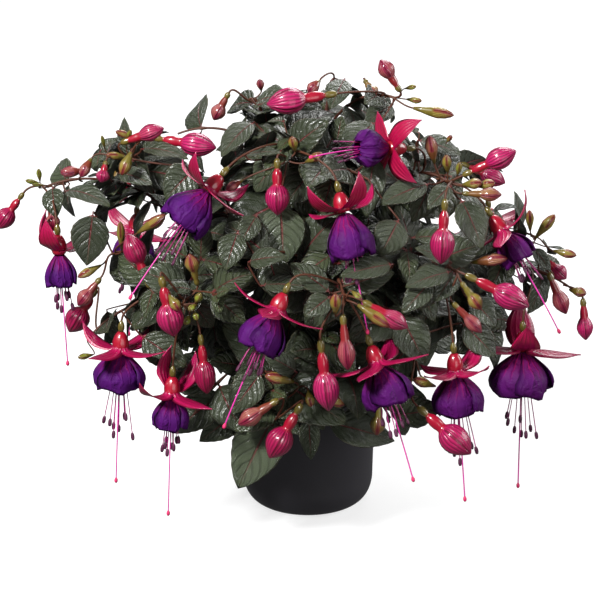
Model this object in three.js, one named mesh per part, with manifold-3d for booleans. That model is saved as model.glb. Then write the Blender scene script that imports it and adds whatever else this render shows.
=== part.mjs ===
// A trailing fuchsia in a smooth round pot. Millimetres, +Z up, origin at the middle of the pot's base;
// the side that carries most of the flowers faces -Y. The pot holds a plug of soil. Leafy stems stand in
// plain holes in the soil, arch over the rim and carry leaves in pairs, buds, and the stalks of the open
// flowers. Each open flower hangs below its stalk in three pieces: a red calyx, a purple corolla, and the
// stamens with their style.
import * as THREE from "three";
import { mergeVertices } from "three/addons/utils/BufferGeometryUtils.js";
import Module from "manifold-3d";

const wasm = await Module();
wasm.setup();

// ---------------------------------------------------------------- driving dimensions
const SEAT_GAP = 0.3; // between two pieces that rest on each other
const MERGE_UNDER = 0.05; // smaller details are smoothed away where the pieces of one node are joined
const POT = {
  baseRadius: 40, sideRadius: 51, rimRadius: 52.5, height: 92, corner: 19, cornerSteps: 3, wall: 2.2,
  floor: 3, floorInset: 1, sides: 26,
  lip: { out: 1.2, deep: 6 },
  drains: { count: 4, radius: 4, ring: 24, sides: 6 },
};
const SOIL = { top: 82, mound: 3, lump: 0.9, sides: 18 };
const STEM = { foot: 2.1, side: 1.26, tip: 0.8, depth: 16, neck: 5, holeSlack: 0.7, overTip: 2 };
// How shoots bend: rise is the share of its height that a stem gains before it leans out, and leave how
// far a side shoot follows its parent. bare is the share of a stem, or of a side shoot, that has no
// leaves.
const SHOOT = {
  rise: 0.45, riseCrest: 0.5, leave: 0.3, sideCrest: 0.6, bare: 0.46, sideBare: 0.34, lastPair: 0.985,
};
const LEAF = {
  length: 50, aspect: 0.68, thickness: 0.95, stalk: 0.08, stalkHalf: 0.8, heel: 0.4, fold: 0.22,
  ripple: 0.03, droop: 50, spread: 58, young: 0.5, youngFrom: 0.72, large: 56, small: 45,
};
const LEAF_ROOM = { longer: 1.5, wider: 4, thickness: 3 };
const STALK = {
  radius: 0.65, leave: 0.35, rise: 0.1, hang: 0.4, long: 20,
  ovaryLength: 8, ovaryRadius: 2.4, ovaryWidest: 3, ovaryEnd: 1.8,
};
const CALYX = {
  tubeLength: 14, tubeRadius: 5.8, rimRadius: 4.4, sepalWidth: 14, thickness: 1.1, cup: 0.12, begin: 78,
  rootUp: 1.4, rootIn: 3,
};
const COROLLA = {
  ringRadius: 3.9, ringHalf: 1.1, halfSpan: 62, thickness: 1.0, tuck: 0.11, scallop: 0.22, fullAt: 0.8,
  narrowTop: 0.9,
};
const PISTIL = {
  hubRadius: 2.2, hubDepth: 3, rootDown: 1.8, rootOut: 1.2, filament: 0.4, anther: 1.3, antherLength: 5,
  style: 0.5, stigma: 1.3, stigmaLength: 3, splay: 9, stamens: 5, sag: 0.12,
};

const CRIMSON = new THREE.MeshStandardMaterial({ color: 0xc3143f, roughness: 0.4 });
const PURPLE = new THREE.MeshStandardMaterial({ color: 0x3c1266, roughness: 0.55 });
const MAGENTA = new THREE.MeshStandardMaterial({ color: 0xb01878, roughness: 0.45 });
const GREEN = new THREE.MeshStandardMaterial({ color: 0x33402f, roughness: 0.5 });
const BLACK = new THREE.MeshStandardMaterial({ color: 0x222126, roughness: 0.55 });
const PEAT = new THREE.MeshStandardMaterial({ color: 0x3a2a1e, roughness: 0.95 });

// The leafy stems. A shoot starts at its foot in the soil, or part way along an earlier shoot of its stem,
// and ends at its tip. Its middle is pulled up by crest, and lean says how far out that pull is. Its pairs
// of leaves follow each other to the tip, and size scales them.
const STEMS = {
  stem_far_left: [
    { foot: [-31, -3], tip: [-197, -20, 258], crest: 34, lean: 0.5, pairs: 4, size: 0.9 },
    { on: 0, at: 0.62, tip: [-130, -44, 287], crest: 16, lean: 0.6, pairs: 2, size: 0.85 },
  ],
  stem_left: [
    { foot: [-24, -19], tip: [-162, -72, 158], crest: 62, lean: 0.6, pairs: 3, size: 1 },
    { on: 0, at: 0.5, tip: [-88, -128, 206], crest: 26, lean: 0.5, pairs: 2, size: 1 },
  ],
  stem_front_low: [
    { foot: [-5, -35], tip: [-26, -118, 108], crest: 62, lean: 0.55, pairs: 4, size: 1.25 },
    { on: 0, at: 0.42, tip: [-84, -96, 108], crest: 56, lean: 0.5, pairs: 2, size: 1.2 },
    { on: 0, at: 0.46, tip: [60, -98, 106], crest: 54, lean: 0.5, pairs: 3, size: 1.2 },
  ],
  stem_front: [
    { foot: [2, -20], tip: [25, -148, 217], crest: 30, lean: 0.45, pairs: 3, size: 1.1 },
    { on: 0, at: 0.55, tip: [-42, -132, 236], crest: 22, lean: 0.5, pairs: 2, size: 1 },
  ],
  stem_crown_front: [
    { foot: [-8, -4], tip: [-15, -88, 300], crest: 26, lean: 0.35, pairs: 3, size: 1.1 },
    { on: 0, at: 0.6, tip: [42, -92, 286], crest: 14, lean: 0.5, pairs: 2, size: 1 },
  ],
  stem_crown_left: [
    { foot: [-16, 10], tip: [-44, 0, 320], crest: 12, lean: 0.4, pairs: 3, size: 1 },
    { on: 0, at: 0.55, tip: [-98, 14, 290], crest: 26, lean: 0.5, pairs: 2, size: 0.95 },
  ],
  stem_crown_right: [
    { foot: [6, 10], tip: [20, 12, 333], crest: 8, lean: 0.4, pairs: 3, size: 0.95 },
    { on: 0, at: 0.6, tip: [64, -18, 326], crest: 12, lean: 0.5, pairs: 2, size: 0.85 },
  ],
  stem_right_high: [
    { foot: [20, -8], tip: [100, -80, 280], crest: 26, lean: 0.45, pairs: 3, size: 1 },
  ],
  stem_right_front: [
    { foot: [20, -26], tip: [103, -120, 227], crest: 30, lean: 0.5, pairs: 3, size: 1.05 },
    { on: 0, at: 0.45, tip: [80, -112, 146], crest: 44, lean: 0.5, pairs: 3, size: 1.15 },
  ],
  stem_far_right: [
    { foot: [34, -6], tip: [194, -58, 192], crest: 48, lean: 0.55, pairs: 3, size: 0.85 },
    { on: 0, at: 0.6, tip: [166, -58, 232], crest: 20, lean: 0.5, pairs: 2, size: 0.75 },
    { on: 0, at: 0.42, tip: [132, -62, 146], crest: 40, lean: 0.5, pairs: 2, size: 1.1 },
  ],
  stem_back_left: [
    { foot: [-20, 25], tip: [-128, 92, 232], crest: 40, lean: 0.5, pairs: 4, size: 1.05 },
    { on: 0, at: 0.45, tip: [-78, 118, 132], crest: 56, lean: 0.5, pairs: 3, size: 1.15 },
  ],
  stem_back: [
    { foot: [0, 32], tip: [-6, 148, 218], crest: 40, lean: 0.45, pairs: 4, size: 1.1 },
    { on: 0, at: 0.5, tip: [6, 84, 292], crest: 20, lean: 0.5, pairs: 2, size: 1 },
  ],
  stem_back_right: [
    { foot: [22, 24], tip: [128, 90, 238], crest: 40, lean: 0.5, pairs: 4, size: 1.05 },
    { on: 0, at: 0.45, tip: [80, 118, 132], crest: 56, lean: 0.5, pairs: 3, size: 1.15 },
  ],
};

// The open flowers. from is the shoot that carries the stalk and how far along it, at the ring where
// sepals and petals meet, hang the way the flower points, and turn the roll of its sepals. sepals is the
// way each sepal's tip points (90 straight out, 180 back along the tube), and sepal their length. petal
// and spread are the corolla's length and radius, stamen and style the reach of those.
const BLOOMS = [
  { on: "stem_far_left", from: [0, 0.93], at: [-181, -66, 222], hang: [0.05, -0.1, -1], turn: 20,
    sepals: [175, 190, 205, 120], sepal: 34, petal: 24, spread: 11, stamen: 34, style: 74 },
  { on: "stem_crown_front", from: [0, 0.8], at: [-70, -110, 283], hang: [-0.64, -0.32, -0.7], turn: 35,
    sepals: [100, 140, 120, 170], sepal: 38, petal: 32, spread: 17, stamen: 46, style: 84 },
  { on: "stem_left", from: [1, 0.72], at: [-135, -108, 163], hang: [-0.06, -0.1, -1], turn: 30,
    sepals: [118, 105, 150, 130], sepal: 38, petal: 28, spread: 18, stamen: 52, style: 88 },
  { on: "stem_left", from: [1, 0.88], at: [-98, -120, 133], hang: [-0.05, -0.1, -1], turn: 40,
    sepals: [95, 150, 215, 180], sepal: 38, petal: 24, spread: 13, stamen: 34, style: 80 },
  { on: "stem_front", from: [0, 0.9], at: [-23, -160, 212], hang: [-0.45, -0.3, -0.85], turn: 10,
    sepals: [110, 75, 115, 110], sepal: 34, petal: 30, spread: 15, stamen: 42, style: 78 },
  { on: "stem_crown_front", from: [0, 0.88], at: [24, -124, 272], hang: [0.22, -0.3, -0.93], turn: 50,
    sepals: [175, 170, 110, 150], sepal: 36, petal: 33, spread: 16, stamen: 40, style: 76 },
  { on: "stem_right_high", from: [0, 0.84], at: [56, -82, 306], hang: [-0.85, -0.4, 0.12], turn: 40,
    sepals: [150, 110, 125, 140], sepal: 34, petal: 26, spread: 13, stamen: 36, style: 60 },
  { on: "stem_front", from: [0, 0.93], at: [48, -148, 168], hang: [0.33, -0.3, -0.9], turn: 25,
    sepals: [86, 84, 110, 150], sepal: 38, petal: 30, spread: 17, stamen: 40, style: 76 },
  { on: "stem_right_front", from: [0, 0.8], at: [105, -120, 151], hang: [0.1, -0.1, -1], turn: 45,
    sepals: [130, 120, 100, 165], sepal: 33, petal: 30, spread: 18, stamen: 52, style: 86 },
  { on: "stem_far_right", from: [0, 0.84], at: [156, -84, 154], hang: [0, -0.08, -1], turn: 0,
    sepals: [88, 172, 130, 178], sepal: 42, petal: 33, spread: 21, stamen: 56, style: 94 },
  { on: "stem_right_high", from: [0, 0.93], at: [138, -90, 246], hang: [0.55, -0.25, -0.8], turn: 15,
    sepals: [160, 80, 120, 110], sepal: 36, petal: 24, spread: 13, stamen: 34, style: 74 },
  { on: "stem_back_left", from: [0, 0.9], at: [-140, 112, 182], hang: [-0.1, 0.1, -1], turn: 40,
    sepals: [110, 130, 150, 120], sepal: 36, petal: 30, spread: 17, stamen: 48, style: 84 },
  { on: "stem_back", from: [0, 0.9], at: [14, 158, 176], hang: [0.08, 0.15, -1], turn: 20,
    sepals: [105, 140, 110, 160], sepal: 36, petal: 30, spread: 18, stamen: 48, style: 84 },
  { on: "stem_back_right", from: [0, 0.92], at: [148, 104, 190], hang: [0.15, 0.1, -1], turn: 60,
    sepals: [150, 110, 130, 115], sepal: 36, petal: 30, spread: 17, stamen: 48, style: 84 },
];

// The buds: the shoot that carries the stalk and how far along it, the tip of the bud, the way it points,
// its length with the ovary, and its girth.
const BUDS = {
  stem_far_left: [
    { from: [0, 0.97], tip: [-232, -20, 226], point: [-0.6, -0.1, -0.8], long: 34, girth: 14 },
    { from: [1, 0.9], tip: [-66, -60, 300], point: [0.95, -0.2, -0.1], long: 48, girth: 18 },
    { from: [1, 0.94], tip: [-104, -50, 312], point: [0.9, -0.1, 0.35], long: 34, girth: 13 },
  ],
  stem_left: [
    { from: [1, 0.9], tip: [-128, -98, 248], point: [-0.4, 0.2, 1], long: 42, girth: 16 },
    { from: [1, 0.94], tip: [-94, -140, 186], point: [0.2, -0.1, -1], long: 44, girth: 19 },
    { from: [0, 0.95], tip: [-196, -44, 170], point: [-0.5, 0, -0.8], long: 40, girth: 18 },
    { from: [1, 0.86], tip: [-72, -134, 140], point: [0.1, -0.1, -1], long: 44, girth: 15 },
  ],
  stem_front_low: [
    { from: [0, 0.96], tip: [-28, -138, 92], point: [-0.5, -0.15, -0.85], long: 46, girth: 19 },
    { from: [0, 0.97], tip: [-50, -138, 118], point: [-0.8, -0.1, -0.5], long: 34, girth: 13 },
  ],
  stem_front: [
    { from: [0, 0.95], tip: [14, -160, 138], point: [0.12, -0.1, -1], long: 52, girth: 18 },
    { from: [0, 0.97], tip: [27, -168, 172], point: [0.1, -0.1, -1], long: 40, girth: 12 },
    { from: [0, 0.96], tip: [68, -160, 200], point: [0.85, -0.1, -0.5], long: 36, girth: 13 },
  ],
  stem_crown_front: [
    { from: [0, 0.97], tip: [-22, -106, 264], point: [0, -0.2, -1], long: 40, girth: 17 },
  ],
  stem_crown_right: [
    { from: [1, 0.85], tip: [-30, -52, 330], point: [-0.95, -0.2, -0.1], long: 52, girth: 20 },
    { from: [1, 0.97], tip: [52, -24, 356], point: [-0.5, 0, 0.8], long: 28, girth: 12 },
    { from: [1, 0.9], tip: [106, -30, 316], point: [0.95, -0.1, -0.15], long: 30, girth: 9 },
  ],
  stem_crown_left: [
    { from: [0, 0.96], tip: [-70, -6, 306], point: [-0.5, 0, -0.9], long: 24, girth: 11 },
  ],
  stem_right_high: [
    { from: [0, 0.97], tip: [146, -88, 306], point: [0.85, -0.1, 0.45], long: 42, girth: 16 },
    { from: [0, 0.96], tip: [92, -130, 236], point: [-0.05, -0.15, -1], long: 46, girth: 17 },
    { from: [0, 0.98], tip: [136, -96, 276], point: [0.95, -0.1, 0], long: 28, girth: 10 },
  ],
  stem_right_front: [
    { from: [0, 0.96], tip: [154, -134, 206], point: [0.85, -0.15, -0.4], long: 50, girth: 18 },
    { from: [1, 0.9], tip: [114, -162, 106], point: [0.75, -0.3, -0.6], long: 50, girth: 20 },
  ],
  stem_far_right: [
    { from: [0, 0.97], tip: [212, -64, 168], point: [0.1, -0.1, -1], long: 32, girth: 11 },
    { from: [0, 0.93], tip: [190, -76, 158], point: [0.4, -0.1, -0.9], long: 38, girth: 12 },
    { from: [1, 0.95], tip: [178, -66, 252], point: [0.6, 0, 0.8], long: 22, girth: 8 },
  ],
  stem_back_left: [
    { from: [0, 0.95], tip: [-158, 90, 212], point: [-0.6, 0.2, -0.7], long: 40, girth: 15 },
    { from: [1, 0.94], tip: [-112, 132, 108], point: [-0.2, 0.2, -1], long: 42, girth: 17 },
  ],
  stem_back: [
    { from: [0, 0.96], tip: [-24, 168, 180], point: [-0.3, 0.2, -0.9], long: 44, girth: 17 },
  ],
  stem_back_right: [
    { from: [0, 0.96], tip: [156, 78, 232], point: [0.8, 0.1, -0.4], long: 40, girth: 15 },
    { from: [1, 0.94], tip: [112, 132, 112], point: [0.3, 0.3, -0.9], long: 42, girth: 17 },
  ],
};

// ---------------------------------------------------------------- shared ways of making a shape
const vec = (x, y, z) => new THREE.Vector3(x, y, z);
const UP = vec(0, 0, 1);
const rad = THREE.MathUtils.degToRad;

// A seeded row of numbers from 0 to 1.
function dice(seed) {
  let state = seed;
  return () => {
    state = (state * 1664525 + 1013904223) % 4294967296;
    return state / 4294967296;
  };
}

// A closed three.js geometry as a solid that can be cut and joined.
function solid(geometry) {
  const bare = new THREE.BufferGeometry().setAttribute("position", geometry.getAttribute("position"));
  bare.setIndex(geometry.index);
  const merged = mergeVertices(bare, 1e-4);
  const corners = merged.index.array;
  const kept = [];
  for (let i = 0; i < corners.length; i += 3) {
    const [a, b, c] = [corners[i], corners[i + 1], corners[i + 2]];
    if (a !== b && b !== c && c !== a) kept.push(a, b, c);
  }
  const vertProperties = merged.attributes.position.array;
  const make = (triVerts) => new wasm.Manifold(new wasm.Mesh({ numProp: 3, vertProperties, triVerts }));
  const made = make(new Uint32Array(kept));
  return made.volume() < 0 ? make(new Uint32Array(kept.reverse())) : made;
}

// A skin over a grid of columns and rows. place(along, round, open) gives each point: along is the row's
// stop, round the angle, and open is 0 at the first and last row, where the skin closes to a point, and 1
// between. With three columns, one runs along the underside as a keel. The far half of the columns is
// split into triangles as a mirror of the near half, so that both faces of a blade bend alike.
function skin(columns, stops, place) {
  const rows = stops.length - 1;
  const geometry = new THREE.SphereGeometry(1, columns, rows);
  const position = geometry.getAttribute("position");
  const corner = (row, column) => row * (columns + 1) + column;
  const index = [];
  for (let row = 0; row < rows; row++) {
    for (let column = 0; column < columns; column++) {
      const [a, b] = [corner(row, column + 1), corner(row, column)];
      const [c, d] = [corner(row + 1, column), corner(row + 1, column + 1)];
      index.push(...(column < columns / 2 ? [a, b, d, b, c, d] : [a, b, c, a, c, d]));
    }
  }
  geometry.setIndex(index);
  for (let i = 0; i < position.count; i++) {
    const row = Math.floor(i / (columns + 1));
    const column = (i % (columns + 1)) % columns;
    const open = row === 0 || row === rows ? 0 : 1;
    const round = (column / columns) * 2 * Math.PI - (columns === 3 ? Math.PI / 2 : 0);
    position.setXYZ(i, ...place(stops[row], open ? round : 0, open));
  }
  return solid(geometry);
}

// Two directions square to an axis. The first lies as near to the guide as it can.
function across(axis, guide) {
  const first = guide.clone().addScaledVector(axis, -guide.dot(axis)).normalize();
  return [first, axis.clone().cross(first)];
}

// A closed bar through a row of points, with a radius at each. It closes to a point where it starts and
// ends. Each ring is turned as little as it can be from the one before.
function loft(sides, points, radii) {
  const last = points.length - 1;
  let right = vec(1, 0.3, 0.2);
  const rings = points.map((point, i) => {
    const before = point.clone().sub(points[Math.max(i - 1, 0)]).normalize();
    const axis = points[Math.min(i + 1, last)].clone().sub(point).normalize().add(before).normalize();
    const [first, second] = across(axis, right);
    right = first;
    return [first, second];
  });
  return skin(sides, points.map((_, i) => i), (i, round) =>
    points[i].clone()
      .addScaledVector(rings[i][0], radii[i] * Math.cos(round))
      .addScaledVector(rings[i][1], radii[i] * Math.sin(round)));
}

// ---------------------------------------------------------------- pot and soil
function makePot() {
  const { baseRadius, sideRadius, rimRadius, height, corner, cornerSteps, sides } = POT;
  const { wall, floor, floorInset, lip, drains } = POT;
  const roundedCorner = Array.from({ length: cornerSteps + 1 }, (_, i) => {
    const angle = (i / cornerSteps) * (Math.PI / 2);
    return [baseRadius + (sideRadius - baseRadius) * Math.sin(angle), corner * (1 - Math.cos(angle))];
  });
  const turned = [
    [0, 0], ...roundedCorner,
    [rimRadius, height - lip.deep], [rimRadius + lip.out, height - lip.deep], [rimRadius + lip.out, height],
    [rimRadius - wall, height], [sideRadius - wall, corner],
    [baseRadius - floorInset, floor], [0, floor],
  ].map(([radius, z]) => new THREE.Vector2(radius, z));
  let pot = solid(new THREE.LatheGeometry(turned, sides).rotateX(Math.PI / 2));
  for (let i = 0; i < drains.count; i++) {
    const angle = ((i + 0.5) / drains.count) * 2 * Math.PI;
    const drill = new THREE.CylinderGeometry(drains.radius, drains.radius, 4 * floor, drains.sides);
    drill.rotateX(Math.PI / 2).translate(drains.ring * Math.cos(angle), drains.ring * Math.sin(angle), 0);
    pot = pot.subtract(solid(drill));
  }
  return pot;
}

// The soil fills the pot to just under its rim. Its top is a low mound, lumpy where two waves round it
// meet.
function makeSoil() {
  const { baseRadius, sideRadius, rimRadius, height, corner, wall, floor, floorInset, lip } = POT;
  const slack = wall + 2 * SEAT_GAP;
  const flare = (rimRadius - sideRadius) / (height - lip.deep - corner);
  const topRadius = sideRadius + (SOIL.top - corner) * flare - slack;
  const lumpy = (radius, angle) =>
    SOIL.top + SOIL.mound * Math.cos((radius / topRadius) * (Math.PI / 2)) +
    SOIL.lump * Math.sin(3 * angle + radius * 0.31) * Math.cos(5 * angle - radius * 0.17);
  const rings = [
    [0, "top"], [topRadius * 0.3, "top"], [topRadius * 0.65, "top"], [topRadius, "top"],
    [sideRadius - slack, corner], [baseRadius - floorInset - 2 * SEAT_GAP, floor + SEAT_GAP],
    [0, floor + SEAT_GAP],
  ];
  let soil = skin(SOIL.sides, rings.map((_, i) => i), (row, angle, open) => {
    const [radius, level] = rings[row];
    const z = level === "top" ? lumpy(radius, angle) : level;
    return vec(radius * Math.cos(angle) * open, radius * Math.sin(angle) * open, z);
  });
  const holeRadius = STEM.foot + STEM.holeSlack;
  const holeLength = 2 * STEM.depth;
  for (const shoots of Object.values(STEMS)) {
    const [x, y] = shoots[0].foot;
    const hole = new THREE.CylinderGeometry(holeRadius, holeRadius, holeLength, 6).rotateX(Math.PI / 2);
    hole.translate(x, y, SOIL.top - STEM.depth - SEAT_GAP + holeLength / 2);
    soil = soil.subtract(solid(hole));
  }
  return soil;
}

// ---------------------------------------------------------------- stems
// The curve of a shoot: upright where it leaves the soil, pulled up in the middle, and hanging at its tip.
function shootCurve(shoot, earlier) {
  const tip = vec(...shoot.tip);
  if (shoot.foot) {
    const start = vec(...shoot.foot, SOIL.top + STEM.neck);
    const rise = start.clone()
      .setZ(SOIL.top + SHOOT.rise * (tip.z - SOIL.top) + shoot.crest * SHOOT.riseCrest);
    const over = start.clone().lerp(tip, shoot.lean).setZ(tip.z + shoot.crest);
    return new THREE.CubicBezierCurve3(start, rise, over, tip);
  }
  const parent = earlier[shoot.on];
  const start = rootOn(parent, shoot.at);
  const leave = start.clone()
    .addScaledVector(parent.curve.getTangent(shoot.at), SHOOT.leave * start.distanceTo(tip));
  const over = start.clone().lerp(tip, shoot.lean)
    .setZ(Math.max(start.z, tip.z) + shoot.crest * SHOOT.sideCrest);
  return new THREE.CubicBezierCurve3(start, leave, over, tip);
}

// A shoot's bar is straight between its steps, so what grows from the shoot starts on those straight
// stretches.
const shootSteps = (shoot) => (shoot.foot ? 6 : 4);
function rootOn(shoot, along) {
  const steps = shootSteps(shoot);
  const step = Math.min(steps - 1, Math.floor(along * steps));
  const next = shoot.curve.getPoint((step + 1) / steps);
  return shoot.curve.getPoint(step / steps).lerp(next, along * steps - step);
}

function shootSolid(shoot) {
  const steps = shootSteps(shoot);
  const thick = shoot.foot ? STEM.foot : STEM.side;
  const points = Array.from({ length: steps + 1 }, (_, i) => shoot.curve.getPoint(i / steps));
  const radii = points.map((_, i) => thick + ((STEM.tip - thick) * i) / steps);
  if (shoot.foot) {
    points.unshift(vec(...shoot.foot, SOIL.top - STEM.depth));
    radii.unshift(thick);
  }
  points.unshift(points[0]);
  points.push(points.at(-1).clone().addScaledVector(shoot.curve.getTangent(1), STEM.overTip));
  return loft(shoot.foot ? 4 : 3, points, [0, ...radii, 0]);
}

// ---------------------------------------------------------------- leaves
// A leaf grows from base along the unit vector reach, with its upper face towards face, and droops as it
// goes. Its two halves fold up a little from the middle rib, and its edge is waved.
function leafPlace(leaf) {
  const { base, reach, face, length, width, droop } = leaf;
  const side = reach.clone().cross(face);
  const turn = rad(droop);
  const fat = (leaf.thickness ?? LEAF.thickness) / 2;
  return (along, round, open) => {
    const angle = turn * along;
    const blade = Math.max(0, (along - LEAF.stalk) / (1 - LEAF.stalk));
    const half = Math.max(LEAF.stalkHalf, (width / 2) * Math.sin(Math.PI * blade ** 0.75)) * open;
    const edge = Math.cos(round);
    const up = face.clone().multiplyScalar(Math.cos(angle)).addScaledVector(reach, Math.sin(angle));
    const wave = length * LEAF.ripple * Math.sin(14 * along);
    const lift = (half * LEAF.fold + wave) * Math.abs(edge);
    return base.clone()
      .addScaledVector(reach, (length * Math.sin(angle)) / turn)
      .addScaledVector(face, (-length * (1 - Math.cos(angle))) / turn)
      .addScaledVector(side, half * edge)
      .addScaledVector(up, lift * open + fat * Math.sin(round) * open);
  };
}
const LARGE_LEAF_STOPS = [0, LEAF.stalk, 0.36, 0.62, 0.84, 1];
const LEAF_STOPS = [0, LEAF.stalk, 0.38, 0.72, 1];
const BLADE_STOPS = [0.24, 0.42, 0.66, 0.86, 1];
function leafSolid(leaf) {
  const stops = leaf.length > LEAF.large ? LARGE_LEAF_STOPS : LEAF_STOPS;
  return skin(leaf.length > LEAF.small ? 4 : 3, stops, leafPlace(leaf));
}

// The blade alone, without the stalk that springs from the shoot.
const bladeSolid = (leaf) => skin(4, BLADE_STOPS, leafPlace(leaf));

// The space a leaf needs: the same leaf, wider, longer and thicker.
const leafRoom = (leaf) => leafSolid({
  ...leaf,
  length: leaf.length + LEAF_ROOM.longer,
  width: leaf.width + LEAF_ROOM.wider,
  thickness: LEAF_ROOM.thickness,
});

// Where a leaf of a shoot stands: round the shoot by turn, leaning from it by spread.
function leafOn(shoot, along, turn, spread, length, droop) {
  const axis = shoot.curve.getTangent(along);
  const tip = shoot.curve.getPoint(1);
  const outward = vec(tip.x, tip.y, 0).normalize();
  const [first, second] = across(axis, outward.clone().cross(UP));
  const radial = first.multiplyScalar(Math.cos(rad(turn))).addScaledVector(second, Math.sin(rad(turn)));
  const reach = axis.multiplyScalar(Math.cos(rad(spread))).addScaledVector(radial, Math.sin(rad(spread)));
  reach.z -= 0.12;
  reach.normalize();
  const light = outward.multiplyScalar(0.75).addScaledVector(UP, 0.65);
  const [face] = across(reach, light);
  const base = rootOn(shoot, along).addScaledVector(reach, -LEAF.heel);
  return { base, reach, face, length, width: length * LEAF.aspect, droop };
}

// The ways a leaf may turn aside from what is in its place, the least first: how far round its shoot, how
// far out from it, and how much smaller.
const ASIDE = [1, 0.84, 0.68].flatMap((smaller) =>
  [0, 20, -20, 38].flatMap((out) =>
    [0, 24, -24, 48, -48, 72, -72].map((round) => [round, out, smaller])));

// ---------------------------------------------------------------- flowers and buds
// A flower stalk leaves the shoot, bends over, and carries on as what hangs from it. head lists the rings
// of that, as the way along from start and the radius. The stalk starts thin, inside the shoot.
function hanging(shoot, along, start, axis, head) {
  const root = rootOn(shoot, along);
  const gap = root.distanceTo(start);
  const leave = root.clone().addScaledVector(shoot.curve.getTangent(along), gap * STALK.leave);
  leave.z += gap * STALK.rise;
  const above = start.clone().addScaledVector(axis, -gap * STALK.hang);
  const curve = new THREE.CubicBezierCurve3(root, leave, above, start);
  const stops = gap > STALK.long ? [0, 0.1, 0.4, 0.75] : [0, 0.12, 0.6];
  const points = stops.map((stop) => curve.getPoint(stop));
  const radii = stops.map((stop) => (stop ? STALK.radius : 0));
  for (const [down, radius] of head) {
    points.push(start.clone().addScaledVector(axis, down));
    radii.push(radius);
  }
  return loft(4, points, radii);
}

// A bud from its ovary to its point, as shares of its length and of half its girth. Its four sepals are
// shut.
const BUD_RINGS = [[0.1, 0.36], [0.2, 0.2], [0.42, 0.42], [0.66, 1], [0.87, 0.7], [1, 0]];
const MIDDLE_BUD_RINGS = [[0.1, 0.45], [0.36, 0.45], [0.72, 1], [1, 0]];
const SMALL_BUD_RINGS = [[0, 0.25], [0.6, 1], [1, 0]];
const ringsOfBud = (girth) => {
  if (girth < 10) return SMALL_BUD_RINGS;
  return girth < 14 ? MIDDLE_BUD_RINGS : BUD_RINGS;
};
function budSolid(bud, shoots) {
  const axis = vec(...bud.point).normalize();
  const start = vec(...bud.tip).addScaledVector(axis, -bud.long);
  const rings = ringsOfBud(bud.girth);
  const head = rings.map(([along, radius]) => [along * bud.long, (radius * bud.girth) / 2]);
  const [shootNumber, place] = bud.from;
  return hanging(shoots[shootNumber], place, start, axis, head);
}

// The stalk and ovary of an open flower. The ovary stops just short of the tube.
function bloomStalk(bloom, shoots) {
  const { axis, centre } = bloomFrame(bloom);
  const start = centre.clone().addScaledVector(axis, -CALYX.tubeLength - SEAT_GAP - STALK.ovaryLength);
  const head = [
    [0, STALK.radius], [STALK.ovaryWidest, STALK.ovaryRadius],
    [STALK.ovaryLength, STALK.ovaryEnd], [STALK.ovaryLength, 0],
  ];
  const [shootNumber, place] = bloom.from;
  return hanging(shoots[shootNumber], place, start, axis, head);
}

// A flower's own directions: down its axis, and two across it, rolled by its turn.
function bloomFrame(bloom) {
  const axis = vec(...bloom.hang).normalize();
  const [right, front] = across(axis, vec(1, 0, 0));
  const outward = (angle) =>
    right.clone().multiplyScalar(Math.cos(angle)).addScaledVector(front, Math.sin(angle));
  return { axis, outward, centre: vec(...bloom.at) };
}

// Calyx: the swollen tube, and four sepals that spring from its rim and curl back.
const TUBE_RINGS = [[0, 0], [0, 0.4], [0.3, 0.86], [0.6, 1], [1, 0.76], [1, 0]];
const SEPAL_STOPS = [0, 0.08, 0.42, 0.76, 1];
function makeCalyx(bloom) {
  const { axis, outward, centre } = bloomFrame(bloom);
  const place = (down, out, angle) =>
    centre.clone().addScaledVector(axis, down).addScaledVector(outward(angle), out);
  const tube = skin(5, TUBE_RINGS.map((_, i) => i), (row, round) => {
    const [along, swell] = TUBE_RINGS[row];
    return place((along - 1) * CALYX.tubeLength, CALYX.tubeRadius * swell, round + rad(bloom.turn));
  });
  const sepals = bloom.sepals.map((end, i) => {
    const middle = rad(bloom.turn + 90 * i);
    const radial = outward(middle);
    const side = axis.clone().cross(radial);
    const begin = rad(CALYX.begin);
    const change = rad(end) - begin;
    return skin(3, SEPAL_STOPS, (along, round, open) => {
      const angle = begin + change * along;
      const half = (CALYX.sepalWidth / 2) * Math.sin(Math.PI * (0.09 + 0.91 * along)) * open;
      const edge = Math.cos(round);
      const proud = (-CALYX.thickness / 2) * Math.sin(round) * open - half * edge * edge * CALYX.cup;
      const back = axis.clone().multiplyScalar(-Math.sin(angle)).addScaledVector(radial, Math.cos(angle));
      return place(-CALYX.rootUp, CALYX.rimRadius - CALYX.rootIn, middle)
        .addScaledVector(axis, (bloom.sepal * (Math.sin(angle) - Math.sin(begin))) / change)
        .addScaledVector(radial, (bloom.sepal * (Math.cos(begin) - Math.cos(angle))) / change)
        .addScaledVector(side, half * edge)
        .addScaledVector(back, proud);
    });
  });
  return wasm.Manifold.union([tube, ...sepals]);
}

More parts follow.
